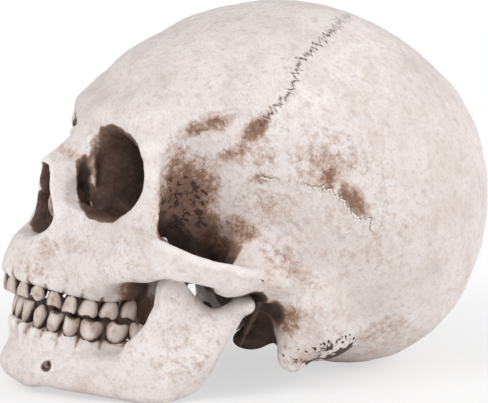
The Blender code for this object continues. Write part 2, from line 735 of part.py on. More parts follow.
def make_springs(skull, jaw, collection, cutters, looks):
    """Two springs, their four screws, and the cutters of the screw bores."""
    bores, screws = {"upper": [], "lower": []}, {"upper": [], "lower": []}
    seek_share = .14
    for side_name, side in (("left", 1), ("right", -1)):
        outwards = Vector((side, 0, 0))
        upper_seek, lower_seek = at(UPPER_SCREW_shares), at(LOWER_SCREW_shares)
        upper_seek.x *= side
        lower_seek.x *= side
        upper = surface_along(skull, upper_seek + outwards * seek_share * BASE_LENGTH, -outwards)
        lower = surface_along(jaw, lower_seek - outwards * seek_share * BASE_LENGTH, outwards)
        ring_upper = upper + outwards * RING_STAND
        ring_lower = lower - outwards * RING_STAND
        axis = (ring_lower - ring_upper).normalized()
        across = (outwards - axis * outwards.dot(axis)).normalized()
        path = spring_path(ring_upper, ring_lower, across)
        spring = wire_object(f"jaw_spring_{side_name}", path, collection, looks["spring"])
        own_origin(spring, ring_upper)
        if side == 1:
            print("least gap of the spring wire to itself, mm:", round(least_gap(path) / MILLIMETRE, 2))
        for end, place, aim in (("upper", ring_upper, across), ("lower", ring_lower, -across)):
            neck = SPRING_WIRE / 2 + FIT_GAP
            foot, top = RING_STAND + SCREW_GRIP, neck + SCREW_HEAD
            screw = turned(f"spring_screw_{end}_{side_name}", place, aim,
                           ((top, SCREW_HEAD_RADIUS), (neck, SCREW_HEAD_RADIUS),
                            (neck, SCREW_RADIUS), (-foot, SCREW_RADIUS)), collection)
            finish(screw, looks["spring"])
            screws[end].append(screw)
            # the bore, and a flat seat that clears the ring
            bore, seat = SCREW_RADIUS + FIT_GAP, SCREW_HEAD_RADIUS + FIT_GAP
            bores[end].append(turned(f"{end}_screw_bore_{side_name}", place, aim,
                                     ((top + FIT_GAP, seat), (-RING_STAND, seat),
                                      (-RING_STAND, bore), (-foot - FIT_GAP, bore)), cutters))
    return screws, bores


# Nose insert: a block at the back of the nose passage carries the parts
insert_block_shares = ((0, -.46, .74), (.078, .035, .090), 0, 0)
insert_mass_shares = (
    insert_block_shares,
    ((0, -.65, .75), (.011, .21, .118), 0, 0),)      # septum
insert_bar_shares = (
    ((.030, -.46, .71, .022), (.046, -.58, .69, .019), (.048, -.70, .69, .015)),
    ((.030, -.46, .78, .020), (.040, -.56, .80, .016), (.036, -.67, .81, .011)))


def make_nose_insert(collection, cutters, looks):
    """Septum and conchae on their block, and the cutter of their pocket."""
    shapes = {}
    for name, grow in (("nose_insert", 0.0), ("nose_insert_pocket", FIT_GAP)):
        bm = bmesh.new()
        add_masses(bm, insert_mass_shares, grow)
        for rows in insert_bar_shares:
            add_bar(bm, rows, grow)
            add_bar(bm, [(-x, y, z, radius) for x, y, z, radius in rows], grow)
        shapes[name] = bm_to_object(bm, name, cutters if grow else collection)
        remesh(shapes[name], INSERT_VOXEL)
        decimate(shapes[name], INSERT_FACES * (4 if grow else 1))
        bake(shapes[name])
        keep_largest(shapes[name])
    insert = shapes["nose_insert"]
    finish(insert, looks["bone"])
    own_origin(insert, at(insert_block_shares[0]))
    return shapes["nose_insert_pocket"]


def make_styloids(skull, collection, cutters, looks):
    """Two thin spikes under the ears, and the cutters of their sockets."""
    sockets = []
    for side_name, turn in (("left", Vector), ("right", flipped)):
        inside, tip = turn(at(STYLOID_BASE_shares)), turn(at(STYLOID_TIP_shares))
        aim = (inside - tip).normalized()
        # the shoulder of the spike lies where its line enters the casting
        root = surface_along(skull, tip, aim)
        reach = (tip - root).length
        spike = turned(f"styloid_process_{side_name}", root, aim,
                       ((STYLOID_PEG, STYLOID_RADIUS), (0.0, STYLOID_RADIUS),
                        (-reach, STYLOID_RADIUS * styloid_tip_share)), collection, 12)
        finish(spike, looks["bone"])
        wide = STYLOID_RADIUS + FIT_GAP
        sockets.append(turned(f"styloid_socket_{side_name}", root, aim,
                              ((STYLOID_PEG + FIT_GAP, wide), (-STYLOID_PEG, wide)), cutters))
    return sockets


def make_rest_cutter(cutters):
    """The table: everything under z = 0 is cut flat."""
    bm = bmesh.new()
    half = BASE_LENGTH * 2
    place = Matrix.Translation((0, 0, -half)) @ Matrix.Scale(half * 2, 4)
    bmesh.ops.create_cube(bm, size=1.0, matrix=place)
    return bm_to_object(bm, "table", cutters)


def build():
    for obj in list(bpy.data.objects):
        bpy.data.objects.remove(obj, do_unlink=True)
    collection = bpy.data.collections.new("anatomical_skull_model")
    cutters = bpy.data.collections.new("cutters")
    for made in (collection, cutters):
        bpy.context.scene.collection.children.link(made)
    looks = {
        "bone": material("bone_resin", (.72, .64, .58), .55),
        "tooth": material("tooth_resin", (.66, .56, .47), .40),
        "spring": material("spring_steel", (.62, .62, .60), .30, 1.0)}

    skull = make_cranium(collection, cutters)
    jaw = make_mandible(collection, cutters)
    upper = tooth_set(upper_row_shares, upper_width_shares, upper_depth_shares, upper_lean_shares, True)
    lower = tooth_set(lower_row_shares, lower_width_shares, lower_depth_shares, lower_lean_shares, False)
    _, upper_sockets = make_teeth("upper", upper, collection, cutters, looks)
    lower_teeth, lower_sockets = make_teeth("lower", lower, collection, cutters, looks)
    insert_pocket = make_nose_insert(collection, cutters, looks)
    styloid_sockets = make_styloids(skull, collection, cutters, looks)
    screws, bores = make_springs(skull, jaw, collection, cutters, looks)
    table = make_rest_cutter(cutters)

    for cutter in (upper_sockets, insert_pocket, *styloid_sockets, *bores["upper"], table):
        boolean(skull, cutter, "DIFFERENCE")
    for cutter in (lower_sockets, *bores["lower"], table):
        boolean(jaw, cutter, "DIFFERENCE")
    for casting in (skull, jaw):
        bake(casting)
        keep_largest(casting)
        finish(casting, looks["bone"])
    for cutter in cutters.objects:
        cutter.hide_render = True
        cutter.display_type = "WIRE"

    # the lower jaw turns about the line through both condyles
    hinge = bpy.data.objects.new("jaw_hinge", None)
    collection.objects.link(hinge)
    hinge.location = at((0, *CONDYLE_shares[1:]))
    own_origin(jaw, hinge.location.copy())
    for piece in (jaw, *lower_teeth, *screws["lower"]):
        hang_on(piece, hinge)


build()
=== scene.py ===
import math

import bpy
import numpy as np
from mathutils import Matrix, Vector


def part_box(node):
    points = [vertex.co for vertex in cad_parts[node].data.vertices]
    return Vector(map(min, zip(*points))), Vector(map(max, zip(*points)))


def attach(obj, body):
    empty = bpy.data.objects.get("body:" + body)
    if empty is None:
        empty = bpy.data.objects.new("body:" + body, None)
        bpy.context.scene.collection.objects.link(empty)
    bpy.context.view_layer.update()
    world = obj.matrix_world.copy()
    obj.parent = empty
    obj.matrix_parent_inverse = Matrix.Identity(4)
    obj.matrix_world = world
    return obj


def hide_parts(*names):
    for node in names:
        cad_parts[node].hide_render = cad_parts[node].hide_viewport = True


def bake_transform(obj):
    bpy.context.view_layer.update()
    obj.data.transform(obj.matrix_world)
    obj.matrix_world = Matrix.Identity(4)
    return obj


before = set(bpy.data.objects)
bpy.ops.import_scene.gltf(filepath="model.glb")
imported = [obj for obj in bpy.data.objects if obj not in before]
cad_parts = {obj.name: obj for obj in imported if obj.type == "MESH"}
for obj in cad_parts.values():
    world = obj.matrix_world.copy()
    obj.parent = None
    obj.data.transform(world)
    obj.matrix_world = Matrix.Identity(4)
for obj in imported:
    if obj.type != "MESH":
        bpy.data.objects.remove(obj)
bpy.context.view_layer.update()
scene = bpy.context.scene

# Skull casting.
# One hollow casting of white resin: braincase, face and base, open at the
# foramen magnum, the orbits, the nose and the temples. It is drawn in
# millimetres as a field of distances to its surface, and then skinned.


def smooth_min(a, b, soft):
    """The lesser of two distances, rounded where they are within soft of each other."""
    near = np.maximum(soft - np.abs(a - b), 0) / max(soft, 1e-6)
    return np.minimum(a, b) - near * near * soft / 4


def turning(turn_z, turn_x):
    """Rotation matrix of a turn about Z and then X, in degrees."""
    c, s = math.cos(math.radians(turn_z)), math.sin(math.radians(turn_z))
    e, t = math.cos(math.radians(turn_x)), math.sin(math.radians(turn_x))
    return np.array([[1, 0, 0], [0, e, -t], [0, t, e]]) @ np.array([[c, -s, 0], [s, c, 0], [0, 0, 1]])


def ball(centre, radii, turn_z=0, turn_x=0):
    """Distance to an ellipsoid: k0 (k0 - 1) / k1, from the scaled radius and its gradient."""
    centre, radii, turn = np.array(centre, float), np.array(radii, float), turning(turn_z, turn_x)
    reach = np.sqrt(((turn * radii) ** 2).sum(1))

    def distance(x, y, z):
        p = (x - centre[0], y - centre[1], z - centre[2])
        q = [sum(p[j] * turn[j, i] for j in range(3)) for i in range(3)]
        k0 = np.sqrt(sum((q[i] / radii[i]) ** 2 for i in range(3)))
        k1 = np.sqrt(sum((q[i] / radii[i] ** 2) ** 2 for i in range(3)))
        return k0 * (k0 - 1) / np.maximum(k1, 1e-6)
    return distance, centre - reach, centre + reach


def rod(*rows):
    """Distance to a chain of tapered round bars through rows of x, y, z, radius."""
    table = np.array(rows, float)
    points, radii = table[:, :3], table[:, 3]

    def distance(x, y, z):
        nearest = None
        for a, b, ra, rb in zip(points, points[1:], radii, radii[1:]):
            v = b - a
            t = np.clip(((x - a[0]) * v[0] + (y - a[1]) * v[1] + (z - a[2]) * v[2]) / (v @ v), 0, 1)
            e = np.sqrt((x - a[0] - t * v[0]) ** 2 + (y - a[1] - t * v[1]) ** 2 + (z - a[2] - t * v[2]) ** 2)
            e = e - (ra + t * (rb - ra))
            nearest = e if nearest is None else np.minimum(nearest, e)
        return nearest
    return distance, (points - radii[:, None]).min(0), (points + radii[:, None]).max(0)


def half_field(low, high, step):
    """An empty field over the left half, far from any surface, with its first points in the middle plane."""
    axes = [np.arange(a, b + step, step, dtype=np.float32) for a, b in zip(low, high)]
    axes[0] = (np.arange(len(axes[0])) * step).astype(np.float32)
    return {"axes": axes, "step": step, "f": np.full([len(a) for a in axes], 50, np.float32)}


def window(field, low, high, pad):
    """The part of the grid within pad of a shape's box, and its coordinates."""
    cut = tuple(slice(max(int(np.searchsorted(a, l - pad)) - 1, 0), int(np.searchsorted(a, h + pad)) + 1)
                for a, l, h in zip(field["axes"], low, high))
    x, y, z = (a[c] for a, c in zip(field["axes"], cut))
    return cut, x[:, None, None], y[None, :, None], z[None, None, :]


def join(field, shape, soft=4):
    """Add a shape, blended in over soft millimetres."""
    distance, low, high = shape
    cut, x, y, z = window(field, low, high, soft + 4)
    field["f"][cut] = smooth_min(field["f"][cut], distance(x, y, z), soft)


def carve(field, shape, soft=2):
    """Take a shape away, with its edge rounded over soft millimetres."""
    distance, low, high = shape
    cut, x, y, z = window(field, low, high, soft + 4)
    field["f"][cut] = -smooth_min(-field["f"][cut], distance(x, y, z), soft)


def ripple(x, y, z, wave, seed):
    """A smooth uneven value from about -1 to 1: a sum of twelve sine waves in seeded directions."""
    rng = np.random.default_rng(seed)
    total = 0
    for _ in range(12):
        d = rng.normal(size=3)
        d *= 2 * math.pi / (wave * rng.uniform(.7, 1.5) * np.linalg.norm(d))
        total = total + np.sin(x * d[0] + y * d[1] + z * d[2] + rng.uniform(0, 2 * math.pi))
    return total / 4


def roughen(field, *waves):
    """Make the cast surface uneven by waves of a height, a length and a seed."""
    x, y, z = window(field, (-9, -200, -9), (200, 200, 200), 9)[1:]
    field["f"] += sum(height * ripple(x, y, z, wave, seed) for height, wave, seed in waves)


def skin(values, axes):
    """Surface nets: a point in each cell that the surface crosses, a quad round each crossed grid edge."""
    inside = values < 0
    nx, ny, nz = values.shape
    corners = [(i, j, k) for i in (0, 1) for j in (0, 1) for k in (0, 1)]
    count = sum(inside[i:nx - 1 + i, j:ny - 1 + j, k:nz - 1 + k].astype(np.int8) for i, j, k in corners)
    at = np.argwhere((count > 0) & (count < 8))
    number = np.full(count.shape, -1, np.int64)
    number[tuple(at.T)] = np.arange(len(at))
    held = np.stack([values[at[:, 0] + i, at[:, 1] + j, at[:, 2] + k] for i, j, k in corners], 1)
    total, crossings = np.zeros((len(at), 3)), np.zeros(len(at))
    for a, ca in enumerate(corners):
        for b, cb in enumerate(corners):
            if a < b and sum(abs(p - q) for p, q in zip(ca, cb)) == 1:
                va, vb = held[:, a], held[:, b]
                crossed = (va < 0) != (vb < 0)
                share = np.where(crossed, va / np.where(crossed, va - vb, 1), 0)
                total += np.where(crossed[:, None], np.array(ca) + share[:, None]
                                  * (np.array(cb) - np.array(ca)), 0)
                crossings += crossed
    points = np.array([a[0] for a in axes]) + (at + total / crossings[:, None]) * (axes[0][1] - axes[0][0])
    quads = []
    for d in range(3):
        e = np.eye(3, dtype=int)[d]
        here, there = inside[:nx - e[0], :ny - e[1], :nz - e[2]], inside[e[0]:, e[1]:, e[2]:]
        crossed = np.argwhere(here != there)
        u, v = [k for k in range(3) if k != d]
        crossed = crossed[(crossed[:, u] > 0) & (crossed[:, v] > 0)]
        ring = []
        for du, dv in ((0, 0), (1, 0), (1, 1), (0, 1)):
            cell = crossed.copy()
            cell[:, u] -= du
            cell[:, v] -= dv
            cell = np.minimum(cell, np.array(count.shape) - 1)
            ring.append(number[tuple(cell.T)])
        ring = np.stack(ring, 1)
        turn = here[tuple(crossed.T)] if d != 1 else ~here[tuple(crossed.T)]
        ring[~turn] = ring[~turn][:, ::-1]
        quads.append(ring[(ring >= 0).all(1)])
    return points, np.concatenate(quads)


def both_sides(field):
    """The left half's field and its mirror image, as one field."""
    x, y, z = field["axes"]
    return {"axes": [np.concatenate([-x[:0:-1], x]), y, z], "step": field["step"],
            "f": np.concatenate([field["f"][:0:-1], field["f"]])}


def read_field(field, points):
    """The field's value at points, by straight lines between the grid's eight nearest."""
    low = np.array([a[0] for a in field["axes"]])
    p = np.clip((points - low) / field["step"], 0, np.array(field["f"].shape) - 1.001)
    i = p.astype(int)
    t = p - i
    total = 0
    for dx in (0, 1):
        for dy in (0, 1):
            for dz in (0, 1):
                share = (t[:, 0] if dx else 1 - t[:, 0]) * (t[:, 1] if dy else 1 - t[:, 1]) * (t[:, 2] if dz
                        else 1 - t[:, 2])
                total = total + share * field["f"][i[:, 0] + dx, i[:, 1] + dy, i[:, 2] + dz]
    return total


def shut_in(field, points, reach):
    """How shut in a place is: the share of resin within reach, by two running means along each axis."""
    solid = np.clip(.5 - field["f"] / field["step"], 0, 1)
    half = max(int(round(reach / field["step"] / 2)), 1)
    for axis in (0, 1, 2, 0, 1, 2):
        pad = [(half + 1, half) if k == axis else (0, 0) for k in range(3)]
        total = np.cumsum(np.pad(solid, pad, mode="edge"), axis=axis, dtype=np.float64)
        count = solid.shape[axis]
        solid = ((np.take(total, range(2 * half + 1, 2 * half + 1 + count), axis)
                  - np.take(total, range(count), axis)) / (2 * half + 1)).astype(np.float32)
    return read_field({**field, "f": solid}, points)


def ramp_up(values, start, end):
    """0 before start, 1 after end, and an easy S between them."""
    t = np.clip((values - start) / (end - start), 0, 1)
    return t * t * (3 - 2 * t)


def root_ridges(field, places, alongs, widths, heights, rises, into, start):
    """Swell the bone outside each root, from start to height along it, by a bar that narrows."""
    for place, along, width, height, rise in zip(places, alongs, widths, heights, rises):
        out = np.cross(along, into)
        out = out * (1 if out[0] > 0 else -1)
        foot, head = place + into * start + out * rise, place + into * height + out * rise * .7
        join(field, rod((*foot, width * .36), (*head, width * .2)), 1.6)


def spot(y, z, cy, cz, long, short, tilt, far, near):
    """A spot seen from the side, by the scaled distance from its middle: 1 within near, 0 beyond far."""
    c, t = math.cos(math.radians(tilt)), math.sin(math.radians(tilt))
    q = np.hypot(((y - cy) * c + (z - cz) * t) / long, ((z - cz) * c - (y - cy) * t) / short)
    return ramp_up(-q, -far, -near)


def stains(y, z, rows, far, near):
    """The strongest of many spots: rows of middle y and z, half length, half width, tilt and strength."""
    total = np.zeros(len(y))
    for *row, strength in rows:
        total = np.maximum(total, strength * spot(y, z, *row, far, near))
    return total


def root_grooves(points, places, alongs, up):
    """Wash between the teeth: strongest at the gum's edge, fading along the groove between two roots."""
    total = np.zeros(len(points))
    for a, b, along in zip(places, places[1:], alongs):
        from_gap = points - (a + b) / 2
        out = np.cross(along, up) * (1 if np.cross(along, up)[0] > 0 else -1)
        reach = 12 if a[1] < -80 else 7
        share = np.interp(from_gap @ up, (-4, -1, 2, reach), (.9, 1, .6, 0)) * ramp_up(from_gap @ out, -1, 2)
        total += share * np.exp(-(from_gap @ along / 1.15) ** 2) * ramp_up(-(from_gap @ out), -11, -9)
    return total


def beside_line(points, line):
    """Signed distance to a line in the side view, and the length along it, for lines of y and z."""
    table = np.array(line, float)
    across, along = np.full(len(points), 1e3), np.zeros(len(points))
    spans = np.linalg.norm(np.diff(table, axis=0), axis=1)
    for a, b, start, span in zip(table, table[1:], np.cumsum(spans) - spans, spans):
        v = (b - a) / span
        q = points[:, 1:] - a
        t = np.clip(q @ v, 0, span)
        off = q - t[:, None] * v
        d = np.hypot(off[:, 0], off[:, 1]) * np.where(v[0] * q[:, 1] - v[1] * q[:, 0] < 0, -1, 1)
        nearer = np.abs(d) < np.abs(across)
        across, along = np.where(nearer, d, across), np.where(nearer, start + t, along)
    return across, along


def row_of_teeth(row, widths, gap=.4):
    """Middle and direction of each tooth, one width after another along a row of points."""
    table = np.array(row, float)
    reach = np.concatenate([[0], np.cumsum(np.linalg.norm(np.diff(table, axis=0), axis=1))])
    middle = np.cumsum(np.array(widths) + gap) - (np.array(widths) + gap) / 2

    def read(s):
        return np.stack([np.interp(s, reach, table[:, k]) for k in range(3)], 1)
    along = read(middle + 1) - read(middle - 1)
    return read(middle), along / np.linalg.norm(along, axis=1)[:, None]


def mesh_object(name, points, faces):
    """A mesh object from points in millimetres and rows of point numbers."""
    faces = np.asarray(faces)
    mesh = bpy.data.meshes.new(name)
    mesh.vertices.add(len(points))
    mesh.vertices.foreach_set("co", (np.asarray(points) * .001).astype(np.float32).ravel())
    mesh.loops.add(faces.size)
    mesh.loops.foreach_set("vertex_index", faces.astype(np.int32).ravel())
    mesh.polygons.add(len(faces))
    mesh.polygons.foreach_set("loop_start", np.arange(0, faces.size, faces.shape[1], dtype=np.int32))
    mesh.update(calc_edges=True)
    mesh.polygons.foreach_set("use_smooth", np.full(len(faces), True))
    made = bpy.data.objects.new(name, mesh)
    scene.collection.objects.link(made)
    return made


def thin(made, triangles):
    """Collapse the flattest edges until about so many triangles are left."""
    count = sum(len(p.vertices) - 2 for p in made.data.polygons)
    if count > triangles:
        step = made.modifiers.new("Decimate", "DECIMATE")
        step.ratio = triangles / count
        bpy.context.view_layer.update()
        mesh = bpy.data.meshes.new_from_object(made.evaluated_get(bpy.context.evaluated_depsgraph_get()))
        made.modifiers.clear()
        made.data = mesh
    return made


def points_of(made):
    """A mesh's points in millimetres."""
    co = np.empty(len(made.data.vertices) * 3, np.float32)
    made.data.vertices.foreach_get("co", co)
    return co.reshape(-1, 3).astype(float) * 1000


def normals_of(made):
    """The mesh's point normals."""
    flat = np.empty(len(made.data.vertices) * 3, np.float32)
    made.data.vertices.foreach_get("normal", flat)
    return flat.reshape(-1, 3).astype(float)


def note(made, name, values):
    """Keep one number for each point of the mesh, for its material to read."""
    made.data.attributes.new(name, "FLOAT", "POINT").data.foreach_set("value", np.asarray(values, np.float32))


def turned_table(rows, angles, spread):
    """A closed table of angle and value, read with a soft blur over a spread of degrees."""
    keys, values = np.array(rows, float).T
    offsets = np.linspace(-spread, spread, 13)
    weights = np.exp(-2 * (offsets / spread) ** 2)
    return sum(w * np.interp(angles + o, keys, values, period=360) for w,
               o in zip(weights / weights.sum(), offsets))


def braincase(x, y, z):
    """Distance to the braincase: radius by angle in the middle plane, squared off towards its sides."""
    radius = ((-163, 64), (-141, 61), (-125, 66), (-108, 72), (-88, 78.5), (-75, 83.6), (-61, 86.8),
              (-45, 86.6), (-29, 82.6), (-9, 79.2), (5, 77), (30, 74.2), (50, 70.8), (74, 72.6), (96, 76.9),
              (111, 80), (126, 86), (140, 90.5), (156, 91.5), (163, 87), (176, 72))
    power = ((-163, 2.0), (-120, 2.1), (-60, 2.05), (0, 2.15), (50, 2.25), (90, 2.25), (125, 2.25),
             (150, 2.2), (165, 2.15), (180, 2.1))
    dy, dz = y - 28, z - 80
    along = np.hypot(dy, dz)
    reach = np.sqrt(x * x + along * along) + 1e-6
    angles = np.arange(-180, 181)
    turn = np.degrees(np.arctan2(dz, dy))
    middle = np.interp(turn, angles, turned_table(radius, angles, 10))
    square = np.interp(turn, angles, turned_table(power, angles, 16))
    half_breadth = 70.8
    sideways, round_middle = np.abs(x) / reach / half_breadth, along / reach / middle
    return reach - (sideways ** square + round_middle ** square) ** (-1 / square)


def orbit(x, y, z):
    """Distance into the eye socket: a rounded square that narrows from its rim back to its apex."""
    depth = np.clip((y + 68) / 35, 0, .998)
    outer = 50 - (y + 61) * 1.13
    middle, half = (13 + outer) / 2, np.maximum((outer - 13) / 2, 1.5)
    tall = (16.9 - 2.2 * np.clip((x - 29) / 16, 0, 1)) * np.sqrt(1 - depth ** 2.2) + .5
    up = z - (90.9 - 9 * depth)
    n = 2.3 + 1.1 * np.clip((33 - x) / 12, 0, 1) * (up < 0)
    edge = ((np.abs(x - middle) / half) ** n + (np.abs(up) / tall) ** n) ** (1 / n)
    return np.maximum((edge - 1) * np.minimum(half, tall), y + 33)


skull = half_field((-3, -110, -4), (76, 111, 161), 1.0)
join(skull, (braincase, (0, -75, -4), (72, 110, 160)), 0)
# brow, forehead over it, and the outer rim of the orbit
join(skull, ball((0, -36.5, 110), (51, 24, 28)), 10)
join(skull, rod((0, -63, 111, 6), (14, -63.5, 111.5, 5.4), (28, -60.5, 112, 4.6), (40, -57.8, 110, 4.2),
                (49.5, -56.2, 103.5, 4)), 12)
join(skull, ball((34.5, -46.5, 108.5), (16.5, 13, 15)), 8)
join(skull, ball((0, -60, 105), (17, 7.5, 9)), 9)
join(skull, rod((50.5, -56.5, 102.5, 4), (52.2, -57, 92, 3.6), (52, -57.8, 82, 4.2), (50.5, -59, 74, 6)), 5)
# between and behind the orbits
join(skull, ball((0, -58, 86), (15, 20, 24)), 8)
join(skull, ball((29, -42, 82), (20, 17.5, 28)), 10)
# nasal bones, and the bone beside the nose
join(skull, rod((0, -63, 104, 6), (0, -74, 98.2, 4.6), (0, -84.8, 92, 3.6)), 4)
join(skull, rod((4, -70, 98, 4), (5.5, -81, 91, 3.2)), 4)
join(skull, rod((6, -64, 104, 5), (9.5, -71, 96, 3.2), (11.5, -77, 87, 2.8), (13.5, -81, 78, 2.8),
                (15.5, -83, 70, 3.2), (16, -85, 62, 5)), 5)
join(skull, rod((5.5, -84, 90, 2.4), (8.5, -85, 83, 2.4), (11.5, -84.5, 76, 2.4), (14, -83.4, 69.5, 2.4)), 4)
join(skull, rod((7.5, -79, 91, 2.8), (10.5, -81, 83, 2.8), (13, -82, 76, 2.6)), 4)
# rim under the orbit, cheekbone and upper jaw
join(skull, rod((51, -59.5, 77, 6), (44, -65.5, 71, 4.4), (34, -69.5, 69.5, 3.8), (24, -73, 71.5, 3.6),
                (16.5, -77.5, 77, 3.2)), 6)
join(skull, ball((33, -66, 62), (13, 8, 9)), 7)
join(skull, ball((22, -70, 57), (19, 15, 16)), 8)
join(skull, ball((13, -82, 57), (14, 12, 10)), 8)
join(skull, ball((48.5, -60.5, 65), (7.5, 8.5, 13.5), -15), 7)
join(skull, rod((51, -58, 58, 6), (46.5, -64.5, 57, 6.8), (39, -70, 53, 6.2), (33, -73, 49, 6)), 7)
# tooth-bearing arch, palate, nasal spine
join(skull, rod((0, -100, 50.5, 4.8), (8, -98.5, 50, 4.8), (14.5, -94.5, 49, 4.8), (20, -88, 47.5, 5),
                (24, -81, 46, 5.4), (26.2, -74, 45, 5.8), (27.2, -66, 44, 5.8), (27.5, -58, 44, 5.2)), 4)
join(skull, rod((0, -96.5, 58.5, 4.8), (7.5, -95, 58, 4.8), (13.5, -91, 57, 5.2), (18.6, -84.5, 55.5, 6),
                (22.3, -77.5, 54, 6.8), (24.5, -70.5, 53, 7.4), (25.5, -62.5, 52, 7.4),
                (25.5, -55.5, 52, 6)), 6)
join(skull, rod((0, -92, 60.5, 3), (0, -97.2, 61.4, 1.3)), 3)
join(skull, ball((0, -76, 56), (27, 24, 4), 0, 8), 4)
# swellings of the bone over the roots of the upper teeth
upper_widths = (7.7, 6.2, 6.8, 6.2, 6.1, 8.3, 7.9, 7.2)
upper_row = ((0, -101.2, 46.2), (8.5, -99, 45.8), (14.5, -95, 44.8), (19, -89.3, 43), (22, -82.5, 41),
             (24.3, -74.5, 39.2), (25.6, -65.5, 38.2), (26.2, -56, 37.6), (26.4, -50, 37.4))
upper_places, upper_along = row_of_teeth(upper_row, upper_widths)
roots_up = np.array((0, .24, .97))
root_ridges(skull, upper_places, upper_along, upper_widths, (11, 11, 16, 12, 10, 8, 8, 7),
            (2.4, 2.4, 3.6, 2.4, 1.8, 1.2, 1, .8), roots_up, 2.4)
# mastoid and the bone behind it, jaw joint's roof, and the middle of the base
join(skull, rod((56, 8, 38, 12), (54.5, 6, 26, 9.5), (52, 2, 15, 5.8)), 9)
join(skull, ball((44, 16, 26), (14, 17, 15)), 10)
join(skull, rod((60, -29, 48, 4.2), (50, -30.5, 48, 4.4), (42, -30.5, 49, 5)), 5)
join(skull, ball((52, -12, 48), (12, 14, 9)), 7)
join(skull, rod((0, -6, 26, 5.5), (0, -13, 46, 6.5), (0, -30, 58, 11), (0, -42, 62, 12)), 10)
join(skull, rod((46, -6, 42, 8), (30, -8, 40, 7), (14, -8, 36, 7)), 8)
join(skull, ball((16.5, -2, 16), (6, 10, 5), 20), 4)
join(skull, rod((33, -46, 60, 8), (30, -34, 52, 8)), 8)
join(skull, ball((21, -51, 39.5), (2.4, 8.5, 16.5), 18, 14), 3)
join(skull, ball((12, -50, 42.5), (2.2, 5.5, 13.5), 0, 14), 3)
# hollows of the temple, under the cheekbone, the orbit and the nose
carve(skull, ball((64.5, -38, 82), (18, 15.5, 27), 12), 9)
carve(skull, ball((53, -42, 68), (11.5, 12.5, 20), 14), 6)
join(skull, ball((53, -15, 58), (6, 9, 9)), 12)
# the temporal line, a low ridge from the brow over the temple
join(skull, rod((52.6, -57, 101.5, 1.8), (50.6, -53.5, 105, 1.4), (49.3, -48.9, 107.5, 1.2),
                (50.9, -41, 111.6, 1), (53.4, -32, 115, .9), (57.8, -19, 118.4, .7)), 3)
carve(skull, ball((42.5, -45, 49), (10, 9.5, 22)), 4)
carve(skull, ball((44, -62, 40), (10, 13, 9.5)), 4)
# thin outer wall of the orbit
join(skull, rod((46.6, -55, 98, 2.4), (47, -55, 90, 2.4), (46.2, -55, 82, 2.4), (45, -55, 76, 2.6)), 2)
carve(skull, (orbit, (6, -95, 68), (66, -30, 112)), 1.2)
# tear-duct hollow and the crest behind it
carve(skull, rod((14.6, -73.4, 95, 1.8), (14.6, -74.2, 88, 2.7), (13.8, -74, 79, 2)), 1)
join(skull, rod((12.8, -70.6, 103, 1.7), (13.6, -70.2, 94, 1.2), (13.8, -69.4, 84, .7)), 2)
nose_top, nose_foot = ball((1.5, -88, 82), (5.4, 16, 9.6)), ball((5.2, -88, 71.5), (7.4, 18, 8))
carve(skull, nose_top, 1)
carve(skull, nose_foot, 1)
carve(skull, ball((0, -66, 74), (8.5, 26, 11)), 3)
carve(skull, rod((5, -46, 62, 5), (5, -36, 48, 5)), 3)
carve(skull, ball((25, -91, 61), (8, 7, 8)), 6)
# cheek arch
join(skull, rod((53, -58, 66, 3.4), (58.5, -53.5, 63.5, 3), (63, -46, 60, 2.7), (65.5, -36, 56.5, 2.7),
                (65, -24, 53, 3.2), (62, -8, 50, 5)), 4)
join(skull, rod((52, -60, 57, 4.6), (58, -54.5, 56, 3.6), (63, -46, 54, 3), (65.2, -36, 51.5, 2.8),
                (63.5, -26, 48.5, 2.8), (60, -20, 48, 3.6)), 5)
# jaw joint socket, ear canal, foramen magnum, brain space
jaw_socket = ball((57, -19.3, 38.6), (18, 6.5, 6.6))
carve(skull, jaw_socket, 1.2)
carve(skull, rod((70, -10, 38.5, 3.2), (52, -11, 36, 2.4)), 1.2)
carve(skull, rod((66, -10.5, 33, 2.6), (57, -11, 31, 2)), 1.5)
carve(skull, rod((0, 16.5, 39, 15.5), (0, -12.5, -15.4, 15.5)), 2)
carve(skull, ball((0, 33, 86), (60, 63, 60)), 3)
carve(skull, ball((0, -5, 116), (42, 42, 26)), 10)
carve(skull, ball((0, 36, 46), (46, 46, 36)), 10)
carve(skull, ball((31, 0, 76), (16, 19, 13)), 8)

roughen(skull, (.22, 17, 3), (.12, 7, 4))
# the table side is worn flat
skull["f"] = np.maximum(skull["f"], -skull["axes"][2])
full = both_sides(skull)
kept_triangles = 190000
cranium = thin(mesh_object("skull_casting", *skin(full["f"], full["axes"])), kept_triangles)

# brown wash: in slits and hollows, all through the orbits and the nose, in the
# gaps between the teeth, in the temple, and in stained patches; painted shade under
# the cheekbone and in the jaw joint socket; wash and painted shade together under the ear and under the skull
# base
p = points_of(cranium)
side, y, z = np.abs(p[:, 0]), p[:, 1], p[:, 2]
left = np.column_stack((side, y, z))
near, wide = shut_in(full, p, 5), shut_in(full, p, 14)
wash_and_shade = .45 * ramp_up(near, .56, .9) + .55 * ramp_up(wide, .58, .85)
to_middle = np.array((31, -61, 89)) - left
normals = normals_of(cranium)
normals[:, 0] *= np.sign(p[:, 0])
facing = (normals * to_middle).sum(1) / np.linalg.norm(to_middle, axis=1)
in_orbit = ramp_up(facing, -.02, .22) * ramp_up(-orbit(side, y, z), -7, -5)
in_orbit *= ramp_up(-y, 28, 31) * ramp_up(y, -78.2, -76.2)
crest = np.exp(-((y + 69.6 + .09 * (z - 83) + .5 * np.sin(z * .9)) / 1.5) ** 2)
crest *= ramp_up(-side, -18.5, -15.5) * ramp_up(z, 80, 87)
crest = np.maximum(crest, ramp_up(-side, -18.5, -15) * ramp_up(z, 92, 99) * ramp_up(-y, 66.5, 69))
duct = spot(y, z, -73.6, 84, 3.6, 12, 0, 1.2, .7) * ramp_up(-side, -18.5, -15.5)
